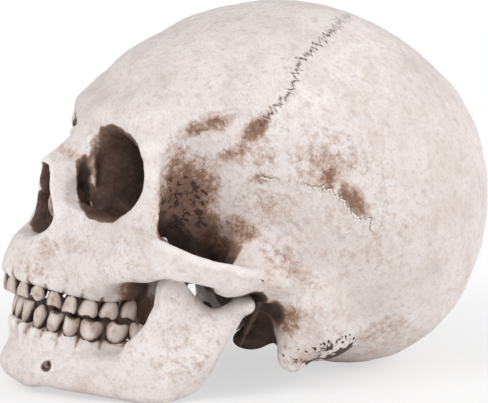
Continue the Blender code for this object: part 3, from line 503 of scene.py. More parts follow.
wash_and_shade = np.maximum(wash_and_shade, in_orbit * (.74 + .28 * ramp_up(y, -62, -45)) * (1 - .48 * crest))
wash_and_shade = np.maximum(wash_and_shade, 1.1 * duct * (1 - crest))
in_nose = np.minimum(nose_top[0](side, y, z), nose_foot[0](side, y, z))
wash_and_shade = np.maximum(wash_and_shade, .75 * ramp_up(-np.abs(in_nose), -1.6, -.7) * ramp_up(y, -93, -89))
nose_walls = ramp_up(-side, -12, -8) * ramp_up(y, -86, -80) * ramp_up(-y, 36, 42)
nose_walls *= ramp_up(z, 58, 62) * ramp_up(-z, -90, -84) * ramp_up(-normals[:, 0], -.35, 0)
wash_and_shade = np.maximum(wash_and_shade, .8 * nose_walls)
wash_and_shade += .75 * root_grooves(left, upper_places, upper_along, roots_up)
# painted shade under the cheekbone: the upper jaw above the back teeth, darker towards the back
cheek = ramp_up(-side, -44, -38) * ramp_up(side, 20, 26) * ramp_up(-z, -53, -46)
wash_and_shade = np.maximum(wash_and_shade, .85 * cheek * ramp_up(y, -74, -55) * ramp_up(-y, 44, 48))
# under the skull base: partly brown wash, partly painted shade, heavier on the left side than on the right
base = ramp_up(-side, -46, -42) * ramp_up(side, 9, 13) * ramp_up(-z, -44, -38)
base *= ramp_up(-np.abs(y + 8), -20, -14)
wash_and_shade = np.maximum(wash_and_shade, (.25 + .53 * (p[:, 0] > 0)) * base)
# painted shade in the jaw joint socket, round the condyle
in_socket = jaw_socket[0](side, y, z)
wash_and_shade = np.maximum(wash_and_shade, ramp_up(-np.abs(in_socket), -2, -.9) * ramp_up(side, 36, 42))
# under the ear behind the jaw joint: partly brown wash, partly painted shade, with a paler ridge through it
under_ear = ((-8, 32, 3.9, 6.8, 0, 1.1), (-18.5, 26, 4.4, 6, 0, 1.0), (-13, 34, 2.5, 5, 0, .9),
             (-2.5, 31, 3.6, 8, 0, .3), (-12, 26, 4, 9, 0, .55))
wash_and_shade = np.maximum(wash_and_shade, stains(y, z, under_ear, 1.5, .8) * ramp_up(side, 42, 48))
light_ridge = np.exp(-((y + 13.2 + .16 * (z - 31)) / 1.2) ** 2) * ramp_up(side, 38, 44)
wash_and_shade *= 1 - .5 * light_ridge * ramp_up(-np.abs(z - 27), -10, -6)
on_side = ramp_up(side, 22, 34)
inner = 1 - ramp_up(side, 56.5, 58.5) * ramp_up(-z, -69, -66) * ramp_up(-y, 12, 20)
across, along = beside_line(p, ((-56, 72), (-50, 68), (-42, 61), (-34, 55.5), (-24, 51), (-12, 47)))
fossa = ramp_up(-across, -19, -1) * ramp_up(-along, -60, -30) * on_side * inner
wash_and_shade = np.maximum(wash_and_shade, fossa * ramp_up(y, -60, -52) * ramp_up(-z, -100, -76))
skull_stains = (
    (-42, 81, 19, 14, 64, .62), (-36, 68, 13, 10, -30, .7), (-46, 94, 13, 8, 70, .42),
    (-48, 104, 9, 5, 50, .3), (-27, 60, 16, 7, -32, .6), (-33, 96, 20, 10, 20, .2),
    (-20, 102, 18, 8, 30, .3), (-34, 112, 12, 4.6, 16, .46), (-39, 110.5, 7, 4, 20, .5),
    (-16, 110.5, 9, 4.2, 42, .52), (-24.5, 101, 9, 3.4, 38, .42), (-14, 98, 7, 3, 20, .36),
    (-15.3, 90.6, 5.5, 2.6, 0, .46), (11, 91, 7.5, 5, 55, .5), (11.5, 97, 22, 15, 0, .33),
    (20.5, 81.5, 12, 5, -48, .5), (-3, 32, 9, 6, 70, .42), (-64, 74, 8, 3, -60, .2),
    (-60, 60, 12, 5, -20, .14), (-12, 80, 18, 9, 0, .29), (30.5, 66.5, 5, 2.6, -60, .3),
    (33, 82, 9, 1.4, 85, .25), (-6, 57, 24, 8, -30, .32), (-19, 68, 11, 6, -52, .42),
    (6, 15, 12, 4, 6, .34), (22, 18, 14, 6, 0, .2), (40, 24, 18, 8, 14, .3), (80, 40, 20, 10, 60, .16),
    (98, 80, 30, 7, 85, .14), (-2, 128, 14, 8, 50, .1), (46, 110, 30, 22, 20, .08), (60, 60, 26, 22, 0, .1),
    (-52, 130, 20, 12, 40, .08), (-66, 68, 9, 6, 0, .14), (-82, 62, 7, 6, 60, .2), (-96, 52, 6, 6, 0, .3),
    (-77.5, 96, 8, 3, -40, .34), (-90, 60, 7, 5, 40, .3), (-70, 56, 10, 5, 10, .2), (-47, 88, 5, 9, 0, .5),
    (-24, 44, 8, 3, 20, .2), (6, 74, 56, 30, -14, .21), (-62, 60, 24, 14, -10, .2),
    (-34, 54, 30, 6, -12, .2))
patches = stains(y, z, skull_stains, 1.7, .25)
wash_and_shade = np.maximum(wash_and_shade, patches * np.where(y < -62, 1, on_side) * inner)
wash_and_shade += .16 * ramp_up(-np.hypot((side - 21) / 2.6, (z - 111.5) / 2.2), -1.6, -.4) * (y < -60)
note(cranium, "wash_and_shade", np.clip(wash_and_shade, 0, 1.2))
# pale sharp edges away from the wash: partly rubbed paint, partly a painted highlight
note(cranium, "edge", ramp_up(-shut_in(full, p, 3), -.45, -.34) * ramp_up(-wash_and_shade, -.6, -.2))
in_temple = 1.15 * spot(y, z, -43, 77, 15, 19, 0, 1.3, .6) * inner
pits = np.maximum(in_temple, .6 * ramp_up(-np.abs(across - 4), -6, -2) * ramp_up(-np.abs(y + 26), -18, -10))
pits = np.maximum(pits * on_side, spot(y, z, 14, 18, 22, 9, 0, 1.3, .6) * on_side)
pits = np.maximum(pits, .35 * spot(y, z, -72, 64, 9, 9, 0, 1.2, .5))
note(cranium, "pits", pits)
under_mastoid = spot(y, z, 14, 16.5, 22, 6, 0, 1.3, .7)
behind_mastoid = .7 * spot(y, z, 22, 21, 20, 5, 0, 1.2, .6)
note(cranium, "flakes", on_side * np.maximum(under_mastoid, behind_mastoid))

# seams between the bones, each as distance across and length along, in the side view
far_off = 60
for name, line in (("coronal", ((39.9, 151.5), (29.8, 149.2), (22.9, 145.9), (16, 142.5), (11.6, 139.6),
                                (5, 135.9), (2.4, 131.7), (0, 127), (-3.1, 122.8), (-7.2, 119.5),
                                (-11, 116.2), (-15.5, 111))),
                   ("squamosal", ((-16, 90.8), (-9.4, 89.6), (-.5, 87.9), (8.7, 86.4), (15, 82.7),
                                  (20.2, 75.4), (27.5, 72.2), (28.6, 66.5))),
                   ("lambdoid", ((32, 99), (33.1, 93.2), (35.2, 78.7), (33, 71), (28.6, 62)))):
    across, along = beside_line(p, line)
    far_end = (along <= 0) | (along >= sum(math.dist(a, b) for a, b in zip(line, line[1:])) - 1e-6)
    hidden = (side < (12 if name == "coronal" else 30)) | far_end
    note(cranium, name + "_across", np.where(hidden, far_off, across))
    note(cranium, name + "_along", along)
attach(cranium, "skull")
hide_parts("cranium")


def calc(operation, *values, clamp=False):
    """A Math node over sockets or numbers, in the tree of the first socket."""
    tree = next(v for v in values if not isinstance(v, (int, float))).id_data
    node = tree.nodes.new("ShaderNodeMath")
    node.operation, node.use_clamp = operation, clamp
    for socket, value in zip(node.inputs, values):
        if isinstance(value, (int, float)):
            socket.default_value = value
        else:
            tree.links.new(value, socket)
    return node.outputs[0]


def read_note(tree, name):
    """A number kept on the mesh's points."""
    node = tree.nodes.new("ShaderNodeAttribute")
    node.attribute_name = name
    return node.outputs["Fac"]


def noise(vector, scale, detail=3, rough=.5):
    """Noise of so many lumps to the metre, about 0 to 1."""
    tree = vector.id_data
    node = tree.nodes.new("ShaderNodeTexNoise")
    node.inputs["Scale"].default_value = scale
    node.inputs["Detail"].default_value = detail
    node.inputs["Roughness"].default_value = rough
    tree.links.new(vector, node.inputs["Vector"])
    return node.outputs["Fac"]


def times(value, other, clamp=False):
    """The product of two values."""
    return calc("MULTIPLY", value, other, clamp=clamp)


def line_of(value, factor, offset, clamp=False):
    """The value times a factor, plus an offset."""
    return calc("MULTIPLY_ADD", value, factor, offset, clamp=clamp)


def step_up(value, start, end):
    """0 before start, 1 after end, straight between them; a falling step has end below start."""
    return calc("DIVIDE", calc("SUBTRACT", value, start), end - start, clamp=True)


def ramp(value, *stops):
    """Colours read along a value from 0 to 1."""
    tree = value.id_data
    node = tree.nodes.new("ShaderNodeValToRGB")
    tree.links.new(value, node.inputs["Fac"])
    band = node.color_ramp.elements
    for i, (at, colour) in enumerate(stops):
        stop = band[i] if i < 2 else band.new(at)
        stop.position, stop.color = at, (*colour, 1)
    return node.outputs["Color"]


def mix(share, first, second):
    """Two colours mixed by a share."""
    tree = share.id_data
    node = tree.nodes.new("ShaderNodeMix")
    node.data_type = "RGBA"
    for socket, value in ((node.inputs["Factor"], share), (node.inputs[6], first), (node.inputs[7], second)):
        if isinstance(value, tuple):
            socket.default_value = (*value, 1)
        elif isinstance(value, (int, float)):
            socket.default_value = value
        else:
            tree.links.new(value, socket)
    return node.outputs[2]


def seam(tree, name, teeth, swing):
    """Distance from a zigzag seam: the distance across, moved by a wave of the length along."""
    across, along = read_note(tree, name + "_across"), read_note(tree, name + "_along")
    wander = tree.nodes.new("ShaderNodeTexNoise")
    wander.noise_dimensions = "1D"
    wander.inputs["Scale"].default_value = 1 / teeth
    wander.inputs["Detail"].default_value = 4
    wander.inputs["Roughness"].default_value = .75
    tree.links.new(along, wander.inputs["W"])
    saw = calc("PINGPONG", line_of(wander.outputs["Fac"], 3 * teeth, along), teeth)
    shift = calc("ADD", times(calc("SUBTRACT", wander.outputs["Fac"], .5), swing * 5.5),
                 times(calc("SUBTRACT", saw, teeth / 2), swing * .35 / teeth))
    return calc("SUBTRACT", across, shift)


def new_paint(name):
    """A new material, its node tree, its shader, and the place on the object to read noise at."""
    made = bpy.data.materials.new(name)
    made.use_nodes = True
    tree = made.node_tree
    return made, tree, tree.nodes["Principled BSDF"], tree.nodes.new("ShaderNodeTexCoord").outputs["Object"]


def bump(tree, shader, height, distance, strength):
    """Shade the surface as if it rose and fell with a height."""
    node = tree.nodes.new("ShaderNodeBump")
    node.inputs["Distance"].default_value = distance
    node.inputs["Strength"].default_value = strength
    tree.links.new(height, node.inputs["Height"])
    tree.links.new(node.outputs["Normal"], shader.inputs["Normal"])


def bone_paint(name, whole=True):
    """White casting resin: pale mottled ground, brown wash and painted shade that break up into grains at
    their edges, pale edges that are partly rubbed paint and partly a painted highlight, dark pits drawn out
    along the muscle fibres, fine streaks and a chalky skin."""
    made, tree, shader, place = new_paint(name)
    broad, patch = noise(place, 22, 5, .6), noise(place, 75, 6, .65)
    grain, dust = noise(place, 330, 8, .72), noise(place, 1100, 4, .7)
    stretch = tree.nodes.new("ShaderNodeMapping")
    stretch.vector_type = "TEXTURE"
    stretch.inputs["Rotation"].default_value = (math.radians(-38), 0, 0)
    stretch.inputs["Scale"].default_value = (1, 3.2, 1)
    tree.links.new(place, stretch.inputs["Vector"])
    fibre = noise(stretch.outputs["Vector"], 520, 5, .6)
    pale = ramp(broad, (.3, (.70, .62, .595)), (.72, (.86, .81, .80)), (.5, (.79, .73, .715)))
    pale = mix(times(step_up(patch, .48, .72), .5), pale, (.58, .465, .405))
    pale = mix(times(step_up(grain, .5, .72), .68), pale, (.54, .42, .36))
    pale = mix(times(step_up(fibre, .52, .72), .5), pale, (.56, .455, .40))
    pale = mix(times(step_up(dust, .5, .72), .5), pale, (.48, .38, .34))
    # pale paint on sharp edges: partly rubbed paint, partly a painted highlight
    rubbed_and_highlit = times(read_note(tree, "edge"), line_of(patch, 1.3, -.2, clamp=True), clamp=True)
    pale = mix(rubbed_and_highlit, pale, (.93, .89, .87))
    # the darkening channel: brown wash, and painted shade in some places
    wash_and_shade = read_note(tree, "wash_and_shade")
    uneven = calc("ADD", times(grain, .45),
                  line_of(patch, .2, line_of(fibre, .17, times(dust, .18))))
    edge = line_of(wash_and_shade, -.55, .60)
    cover = calc("DIVIDE", calc("SUBTRACT", uneven, edge), .16, clamp=True)
    cover = times(cover, times(wash_and_shade, 2.6, clamp=True), clamp=True)
    depth = calc("ADD", wash_and_shade, times(calc("SUBTRACT", uneven, .5), 1.5), clamp=True)
    brown = ramp(depth, (0, (.60, .42, .30)), (1, (.050, .031, .025)), (.3, (.43, .26, .175)),
                 (.55, (.23, .13, .09)), (.78, (.105, .065, .052)))
    colour = mix(cover, pale, brown)
    height = calc("ADD", times(patch, .6), times(grain, line_of(wash_and_shade, .9, .25)))
    height = calc("ADD", height, times(fibre, .18))
    if whole:
        cells = tree.nodes.new("ShaderNodeTexVoronoi")
        cells.inputs["Scale"].default_value = 520
        tree.links.new(stretch.outputs["Vector"], cells.inputs["Vector"])
        pits = read_note(tree, "pits")
        room = times(pits, times(step_up(noise(place, 170, 3), .36, .62), .42))
        pit = calc("DIVIDE", calc("SUBTRACT", room, cells.outputs["Distance"]), .1, clamp=True)
        flake = step_up(calc("ADD", noise(stretch.outputs["Vector"], 130, 5, .66),
                             times(read_note(tree, "flakes"), .3)), .815, .83)
        speck = step_up(calc("ADD", noise(place, 330, 4, .62), times(pits, .3)), .91, .945)
        pit = calc("MAXIMUM", calc("MAXIMUM", pit, speck), flake)
        colour = mix(pit, colour, (.05, .032, .028))
        height = calc("SUBTRACT", height, times(pit, 1.4))
        gaps = step_up(noise(place, 160, 2), .3, .44)
        fading = line_of(step_up(read_note(tree, "coronal_along"), 6, 20), .7, .3)
        line = times(step_up(calc("ABSOLUTE", seam(tree, "coronal", 1.7, 1.6)), .5, .2), times(gaps, fading))
        fine = times(step_up(calc("ABSOLUTE", seam(tree, "lambdoid", 3, .9)), .4, .1), times(gaps, .3))
        ledge = seam(tree, "squamosal", 3.6, 1.1)
        light = times(step_up(calc("ABSOLUTE", ledge), .62, .3), gaps)
        # painted shadow: a thin dark line along one side of the raised, pale squamosal ledge
        under = times(step_up(calc("ABSOLUTE", calc("ADD", ledge, -.75)), .42, .12), times(gaps, .7))
        colour = mix(light, colour, (.82, .75, .68))
        colour = mix(calc("MAXIMUM", calc("MAXIMUM", line, fine), under), colour, (.13, .07, .05))
        height = calc("ADD", height, line_of(light, 1.2, times(line, -2)))
    tree.links.new(colour, shader.inputs["Base Color"])
    tree.links.new(line_of(patch, .2, .45), shader.inputs["Roughness"])
    shader.inputs["Specular IOR Level"].default_value = .3
    bump(tree, shader, height, .0007, .6)
    return made


cranium.data.materials.append(bone_paint("bone_resin_paint"))

# Lower jaw casting.
# A separate solid casting of the same resin, painted with the same wash, and with
# painted shade on its inner faces. It turns about the line through both condyles.
jaw = half_field((-.8 * 4, -109, -3), (66, -8, 62), .8)
# lower border from the chin to the angle, gum, and the body between them
join(jaw, rod((0, -99, 9.5, 5.5), (10, -98, 9.2, 5.5), (19, -93, 8.6, 5.2), (29, -84, 8, 5.2),
              (38, -73, 6.8, 5.2), (44, -64, 5.6, 5.4), (47.2, -56.5, 4.6, 5.3)), 0)
join(jaw, rod((0, -96.8, 24.8, 4.6), (8, -95.3, 23.8, 4.6), (14.5, -91.2, 22, 4.6), (20, -84.5, 20.5, 4.7),
              (24.5, -76.5, 18, 5), (28.5, -67.5, 16.5, 5.4), (32, -59, 17, 5.4)), 5)
join(jaw, rod((0, -98, 14, 5), (12, -95.5, 14, 5), (23, -87, 14, 4.8), (33, -75, 13.5, 5), (40, -64, 13, 5.6),
              (45, -56, 13, 5.2)), 5)
join(jaw, ball((0, -100, 10.5), (9, 6, 6.5)), 5)
join(jaw, ball((12, -97.5, 7.5), (7, 4.8, 4.6)), 5)
# ramus: back border, front border up to the coronoid process, notch and sheet
join(jaw, rod((53, -23, 36, 3.4), (53, -29, 27, 3.4), (52, -36.5, 19, 3.6), (50.8, -44, 12, 4),
              (49, -52, 7.2, 4.8)), 3)
join(jaw, rod((50, -50, 53, 2.6), (49.7, -51.2, 46, 3.2), (49, -51, 38, 3.4), (47, -54.8, 29.5, 3.6),
              (42, -61.6, 20.5, 4.6)), 5)
join(jaw, rod((50, -47.6, 53, 2.6), (50.2, -47, 47, 3), (50, -47.4, 40, 3.6), (49.5, -48, 32, 3.6)), 4)
join(jaw, rod((50, -45, 41, 3.2), (51.2, -39.5, 34.5, 3), (52.4, -32.5, 31.8, 3), (53, -26, 33.5, 3)), 6)
join(jaw, ball((49.5, -44, 22), (3.6, 15, 20), 6), 8)
join(jaw, rod((50.8, -38, 27, 3.4), (49.6, -46, 23, 3.9), (47.2, -54, 18, 4.5)), 8)
join(jaw, rod((51.2, -37, 21, 3.2), (50, -45, 15, 3.8), (47.8, -54, 11, 4.6)), 8)
join(jaw, ball((51, -19.3, 38.6), (9.5, 4.2, 4.4)), 2.5)
# swellings over the roots of the lower teeth
lower_widths = (5, 5.4, 6.2, 6.5, 6.7, 9.6, 9.2, 8.4)
lower_row = ((0, -99, 29.8), (6, -98.2, 28.8), (11.8, -95, 27), (17, -89.5, 25.6), (21, -83, 24.2),
             (25, -74.5, 22.2), (28.5, -65, 21.2), (31, -56, 21.2), (32, -50, 21.4))
lower_places, lower_along = row_of_teeth(lower_row, lower_widths)
root_ridges(jaw, lower_places, lower_along, lower_widths, (10, 10, 13, 10, 8, 6, 5, 4),
            (2, 2, 2.4, 1.8, 1.2, .8, .6, .5), -roots_up, 2.2)
# mental foramen, and the hollow under the front teeth
carve(jaw, rod((27, -97, 13.5, 2.1), (21, -91, 13, 1.4)), .8)
carve(jaw, ball((0, -107, 20), (12, 5, 5)), 5)
roughen(jaw, (.14, 17, 5), (.06, 7, 6))
jaw["f"] = np.maximum(jaw["f"], -jaw["axes"][2])
full_jaw = both_sides(jaw)
mandible = mesh_object("lower_jaw_casting", *skin(full_jaw["f"], full_jaw["axes"]))
p = points_of(mandible)
near, wide = shut_in(full_jaw, p, 4), shut_in(full_jaw, p, 9)
side, y, z = np.abs(p[:, 0]), p[:, 1], p[:, 2]
wash_and_shade = .4 * ramp_up(near, .58, .9) + .4 * ramp_up(wide, .6, .85)
wash_and_shade += .75 * root_grooves(np.column_stack((side, y, z)), lower_places, lower_along, -roots_up)
wash_and_shade += .9 * ramp_up(-np.linalg.norm(np.stack((side - 25.2, y + 94.8, z - 13.3), 1), axis=1), -3.3, -2.2)
# painted shade: the inner faces, towards the mouth, are darker than the outer ones
middle = np.interp(y, (-99, -84, -64, -50, -20), (0, 24, 38, 48.5, 52.5))
wash_and_shade = np.maximum(wash_and_shade, .8 * ramp_up(middle - side, 1.5, 4) * ramp_up(z, 12, 22) * ramp_up(y, -66, -58))
wash_and_shade = np.maximum(wash_and_shade, .4 * ramp_up(middle - side, 1.5, 4) * ramp_up(z, 6, 12))
patches = ((-64, 19, 9, 3, 20, .22), (-42, 26, 26, 18, 50, .22), (-48, 34, 8, 6, 80, .2),
           (-38, 17, 6, 3, 60, .28), (-92, 22, 8, 4, 60, .2), (-74, 7, 16, 3, 0, .12),
           (-46, 12, 8, 5, 40, .14))
wash_and_shade = np.maximum(wash_and_shade, stains(y, z, patches, 1.6, .3))
note(mandible, "wash_and_shade", np.clip(wash_and_shade, 0, 1.2))
# pale sharp edges: partly rubbed paint, partly a painted highlight
note(mandible, "edge", ramp_up(-shut_in(full_jaw, p, 3), -.45, -.34))
mandible.data.materials.append(bone_paint("jaw_resin_paint", whole=False))
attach(mandible, "lower_jaw")
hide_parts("mandible")

# Teeth.
# Thirty-two cast resin teeth, each on a root peg in its own socket, with
# brown wash at the necks and in the grooves of the biting faces.


def tooth_paint():
    """Cream resin with satin enamel, brown towards the neck and in the grooves."""
    made, tree, shader, place = new_paint("tooth_resin_paint")
    patch, grain = noise(place, 180, 5, .6), noise(place, 900, 3)
    pale = ramp(patch, (.34, (.40, .285, .23)), (.64, (.78, .70, .645)), (.48, (.66, .56, .505)))
    amount = times(read_note(tree, "neck"), line_of(patch, 1.2, .4), clamp=True)
    colour = mix(amount, pale, ramp(amount, (.2, (.36, .23, .17)), (1, (.055, .032, .025))))
    tree.links.new(colour, shader.inputs["Base Color"])
    tree.links.new(line_of(amount, .35, .3), shader.inputs["Roughness"])
    bump(tree, shader, calc("ADD", patch, times(grain, .4)), .0003, .4)
    return made


def crown(place, along, up, lean, width, depth, tall, kind):
    """A tooth by its turn and height: a rounded oblong ring at each height, narrow at the neck, and a cap of
    rings that close over cusps; returns a grid of points, rings first, and the brown of each point."""
    out = np.cross(along, up)
    if out[0] * place[0] < 0 or (abs(along[0]) > abs(along[1]) and out[1] > 0):
        out = -out
    axis = up + out * lean
    axis /= np.linalg.norm(axis)
    out = out - axis * (out @ axis)
    out /= np.linalg.norm(out)
    side = np.cross(axis, out)
    form = {"chisel": ((-1, .36, .42), (-.45, .54, .62), (0, .70, .80), (.22, .82, .96), (.5, .95, .82),
                       (.75, 1, .56), (.92, .99, .34), (1, .90, .22)),
            "spear": ((-1, .38, .42), (-.45, .56, .64), (0, .72, .82), (.25, .86, 1), (.5, .98, .94),
                      (.72, .92, .72), (.9, .58, .44), (1, .28, .22)),
            "block": ((-1, .40, .42), (-.45, .62, .66), (0, .78, .80), (.2, .89, .95), (.45, .98, 1),
                      (.7, 1, .96), (.9, .96, .87), (1, .88, .74))}[kind]
    keys, wide, deep = np.array(form).T
    levels = np.concatenate([np.linspace(-1, -.1, 4), np.linspace(0, 1, 12)])
    soften = (-.06, 0, .06)
    wide = sum(np.interp(np.clip(levels + o, -1, 1), keys, wide) for o in soften) / 3
    deep = sum(np.interp(np.clip(levels + o, -1, 1), keys, deep) for o in soften) / 3
    turns = np.linspace(0, 2 * np.pi, 28, endpoint=False)
    cap = np.linspace(1, 0, 7)[1:]
    shrink = np.concatenate([np.ones(len(levels)), cap])[:, None]
    level = np.concatenate([levels, np.ones(len(cap))])[:, None]
    wide, deep = (np.concatenate([v, np.full(len(cap), v[-1])])[:, None] for v in (wide, deep))
    c, s = np.cos(turns), np.sin(turns)
    square = .8 if kind == "block" else .9
    groove = 1 - .05 * np.exp(-(c / .22) ** 2) * (kind == "block") * np.clip(level * 2, 0, 1)
    across = np.sign(c) * np.abs(c) ** square * width / 2 * wide * shrink
    through = np.sign(s) * np.abs(s) ** square * depth / 2 * deep * shrink * groove
    lobes = (kind == "block") * (.5 - .5 * np.cos(4 * turns if width > 7 else 2 * turns + np.pi))
    lift = {"chisel": .2, "spear": .6, "block": .9}[kind]
    sunk = (kind == "spear") * (1 - shrink) - .55 * (kind == "block") * (1 - shrink) ** 1.2
    cusp = lift * (lobes * np.exp(-((shrink - .74) / .26) ** 2) + sunk)
    cusp = np.where(level >= .999, cusp, 0)
    peg = 6.2
    waist = np.where(level < 0, level * peg, level * tall) + cusp
    uneven = np.random.default_rng(int(abs(place[1]) * 7))
    turned_by, out_by = uneven.normal(0, .1, 2)
    cosine, sine = math.cos(turned_by), math.sin(turned_by)
    side, out = side * cosine + out * sine, out * cosine - side * sine
    axis = axis + out * out_by * .4 + side * uneven.normal(0, .03)
    lower = .5 * np.cos(2 * turns) * np.exp(-(level / .3) ** 2)
    grid = place + side * across[..., None] + out * through[..., None] + axis * (waist + lower)[..., None]
    for k, (height, wave) in enumerate(((.2, 6), (.09, 2.6))):
        bulge = height * ripple(*np.moveaxis(grid, 2, 0), wave, int(abs(place[1]) * 3) + k)
        grid = grid + (out * np.sin(turns)[:, None] + side * np.cos(turns)[:, None]) * bulge[..., None]
    brown = .8 * np.exp(-((level + .02) / .16) ** 2) * (1 + .8 * np.abs(c)) + (level < 0)
    brown = brown + 1.3 * np.abs(c) ** 3.4 * np.clip(1.2 - level, 0, 1)
    brown = brown + uneven.uniform(0, .22)
    streak = np.exp(-((c - uneven.normal(0, .3)) / .1) ** 2)
    brown = brown + .3 * streak * np.clip(1.1 - level, 0, 1)
    brown = brown + .6 * (kind == "block") * (1 - shrink) * (1 - .6 * lobes)
    return grid, brown


def closed_rings(grid):
    """Quads round a stack of rings, and fans of triangles, as quads with a repeated middle, over its ends."""
    rings, count = grid.shape[:2]
    i, j = np.meshgrid(np.arange(rings - 1), np.arange(count), indexing="ij")
    k = (j + 1) % count
    ring, above = i * count, (i + 1) * count
    quads = np.stack([ring + j, ring + k, above + k, above + j], -1).reshape(-1, 4)
    points = np.concatenate([grid.reshape(-1, 3), [grid[0].mean(0)], [grid[-1].mean(0)]])
    j = np.arange(count)
    foot = np.stack([(j + 1) % count, j, np.full(count, rings * count)], 1)
    last = (rings - 1) * count
    top = np.stack([last + j, last + (j + 1) % count, np.full(count, rings * count + 1)], 1)
    return points, quads, np.concatenate([foot, top])


def sixfold_volume(points, corners):
    """Six times the volume between the origin and triangles: the sum of a . (b x c)."""
    a, b, c = (points[corners[:, k]] for k in range(3))
    return np.einsum("ij,ij->i", a, np.cross(b, c)).sum()


def ring_object(name, grid, values=None):
    """A closed mesh object over rings of points, made to face outwards."""
    points, quads, fans = closed_rings(grid)
    mesh = bpy.data.meshes.new(name)
    mesh.from_pydata((points * .001).tolist(), [], quads.tolist() + fans.tolist())
    if sum(sixfold_volume(points, corners) for corners in (fans, quads[:, (0, 1, 2)],
                                                           quads[:, (0, 2, 3)])) < 0:
        mesh.flip_normals()
    mesh.polygons.foreach_set("use_smooth", np.full(len(mesh.polygons), True))
    made = bpy.data.objects.new(name, mesh)
    scene.collection.objects.link(made)
    if values is not None:
        note(made, "neck", np.concatenate([values.ravel(), [1, values[-1].mean()]]))
    return made


enamel = tooth_paint()
names = ("central_incisor", "lateral_incisor", "canine", "first_premolar", "second_premolar", "first_molar",
         "second_molar", "third_molar")
kinds = ("chisel", "chisel", "spear") + ("block",) * 5
bite_y, bite_z, half_gap = (-105, -95, -90, -83, -70, -55), (39.2, 38, 35.6, 32.6, 30.3, 29.3), .5
tooth_rows = (
    ("upper", "skull", upper_places, upper_along, upper_widths,
     (6.4, 6, 7.4, 8.2, 8.4, 9.8, 9.6, 8.6), (.26, .24, .16, .08, .06, .06, .06, .08), -1),
    ("lower", "lower_jaw", lower_places, lower_along, lower_widths,
     (5.8, 6, 7.2, 7.6, 8, 9.4, 9.2, 8.8), (.20, .20, .14, .06, 0, -.06, -.10, -.12), 1))
for jaw_name, body, places, alongs, widths, depths, leans, sign in tooth_rows:
    up = sign * roots_up / np.linalg.norm(roots_up)
    for i, name in enumerate(names):
        tall = 0
        for _ in range(4):
            tip = places[i] + up * tall
            tall += (np.interp(tip[1], bite_y, bite_z) - sign * half_gap - tip[2]) / up[2]
        grid, brown = crown(places[i], alongs[i], up, leans[i], widths[i], depths[i],
                            tall - (.9 if kinds[i] == "block" else .2), kinds[i])
        for side_name, flip in (("left", 1), ("right", -1)):
            tooth = ring_object(f"{jaw_name}_{name}_crown_{side_name}", grid * (flip, 1, 1), brown)
            tooth.data.materials.append(enamel)
            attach(tooth, body)
            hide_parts(f"{jaw_name}_{name}_{side_name}")

# Nose insert.
# A thin moulding of the septum and the curled conchae, set in at the back of
# the nose passage.
nose = half_field((-1.5, -88, 60), (12, -40, 90), .5)
join(nose, ball((0, -46, 74), (7.8, 3.5, 9)), 0)
join(nose, ball((0, -65, 75), (1.1, 21, 11.8)), 1)
join(nose, rod((3, -46, 71, 2.2), (4.6, -58, 69, 1.9), (4.8, -70, 69, 1.5)), 1)
join(nose, rod((3, -46, 78, 2), (4, -56, 80, 1.6), (3.6, -67, 81, 1.1)), 1)
roughen(nose, (.12, 5, 8))
full_nose = both_sides(nose)
insert = mesh_object("nose_moulding", *skin(full_nose["f"], full_nose["axes"]))
note(insert, "wash_and_shade", .35 + .4 * ramp_up(points_of(insert)[:, 1], -80, -60))
insert.data.materials.append(mandible.data.materials[0])
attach(insert, "skull")
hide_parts("nose_insert")

# Styloid spikes.
# Two thin tapered spikes of resin, pressed into the base under the ears.
for side_name, flip in (("left", 1), ("right", -1)):
    root, tip = np.array((43.6, -8.7, 36.6)), np.array((40.5, -16.5, 18.5))
    aim = (tip - root) / np.linalg.norm(tip - root)
    across = np.cross(aim, (1, 0, 0)) / np.linalg.norm(np.cross(aim, (1, 0, 0)))
    turns, down = np.linspace(0, 2 * np.pi, 20, endpoint=False), np.linspace(-.19, 1, 30)[:, None]
    thick = np.interp(down, (-.2, 0, .5, .9, 1), (1.7, 1.7, 1.35, .75, .45))
    radius = thick * (1 + .06 * np.sin(9 * down + turns))
    line = root + (tip - root) * down[..., None] + across * (.5 * np.sin(down * 3))[..., None]
    around = across * np.cos(turns)[:, None] + np.cross(aim, across) * np.sin(turns)[:, None]
    grid = line + radius[..., None] * around
    spike = ring_object("styloid_spike_" + side_name, grid * (flip, 1, 1))
    note(spike, "wash_and_shade", np.full(len(spike.data.vertices), .8))
    spike.data.materials.append(mandible.data.materials[0])
    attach(spike, "skull")
    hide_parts("styloid_process_" + side_name)

# Jaw springs and their screws.
# One extension spring on each side, inside the ramus, hooked over a screw in
# the skull and a screw in the jaw: drawn steel wire, curls of 4.4 mm across.


def steel():
    """Drawn wire: light grey metal with fine scratches."""
    made, tree, shader, place = new_paint("spring_steel_drawn")
    shader.inputs["Metallic"].default_value = 1
    scratch = noise(place, 2500, 3)
    tree.links.new(ramp(noise(place, 500, 4), (.3, (.46, .45, .44)), (.7, (.66, .66, .65))),
                   shader.inputs["Base Color"])
    tree.links.new(line_of(scratch, .25, .2), shader.inputs["Roughness"])
    return made


def tube(line, reference, radius, sides=10):
    """Rings of a round wire along a line, turned by a reference direction at each point."""
    ahead = np.gradient(line, axis=0)
    ahead /= np.linalg.norm(ahead, axis=1)[:, None]
    across = reference - ahead * (reference * ahead).sum(1)[:, None]
    across /= np.linalg.norm(across, axis=1)[:, None]
    third = np.cross(ahead, across)
    turns = np.linspace(0, 2 * np.pi, sides, endpoint=False)[:, None]
    return line[:, None] + radius * (across[:, None] * np.cos(turns) + third[:, None] * np.sin(turns))


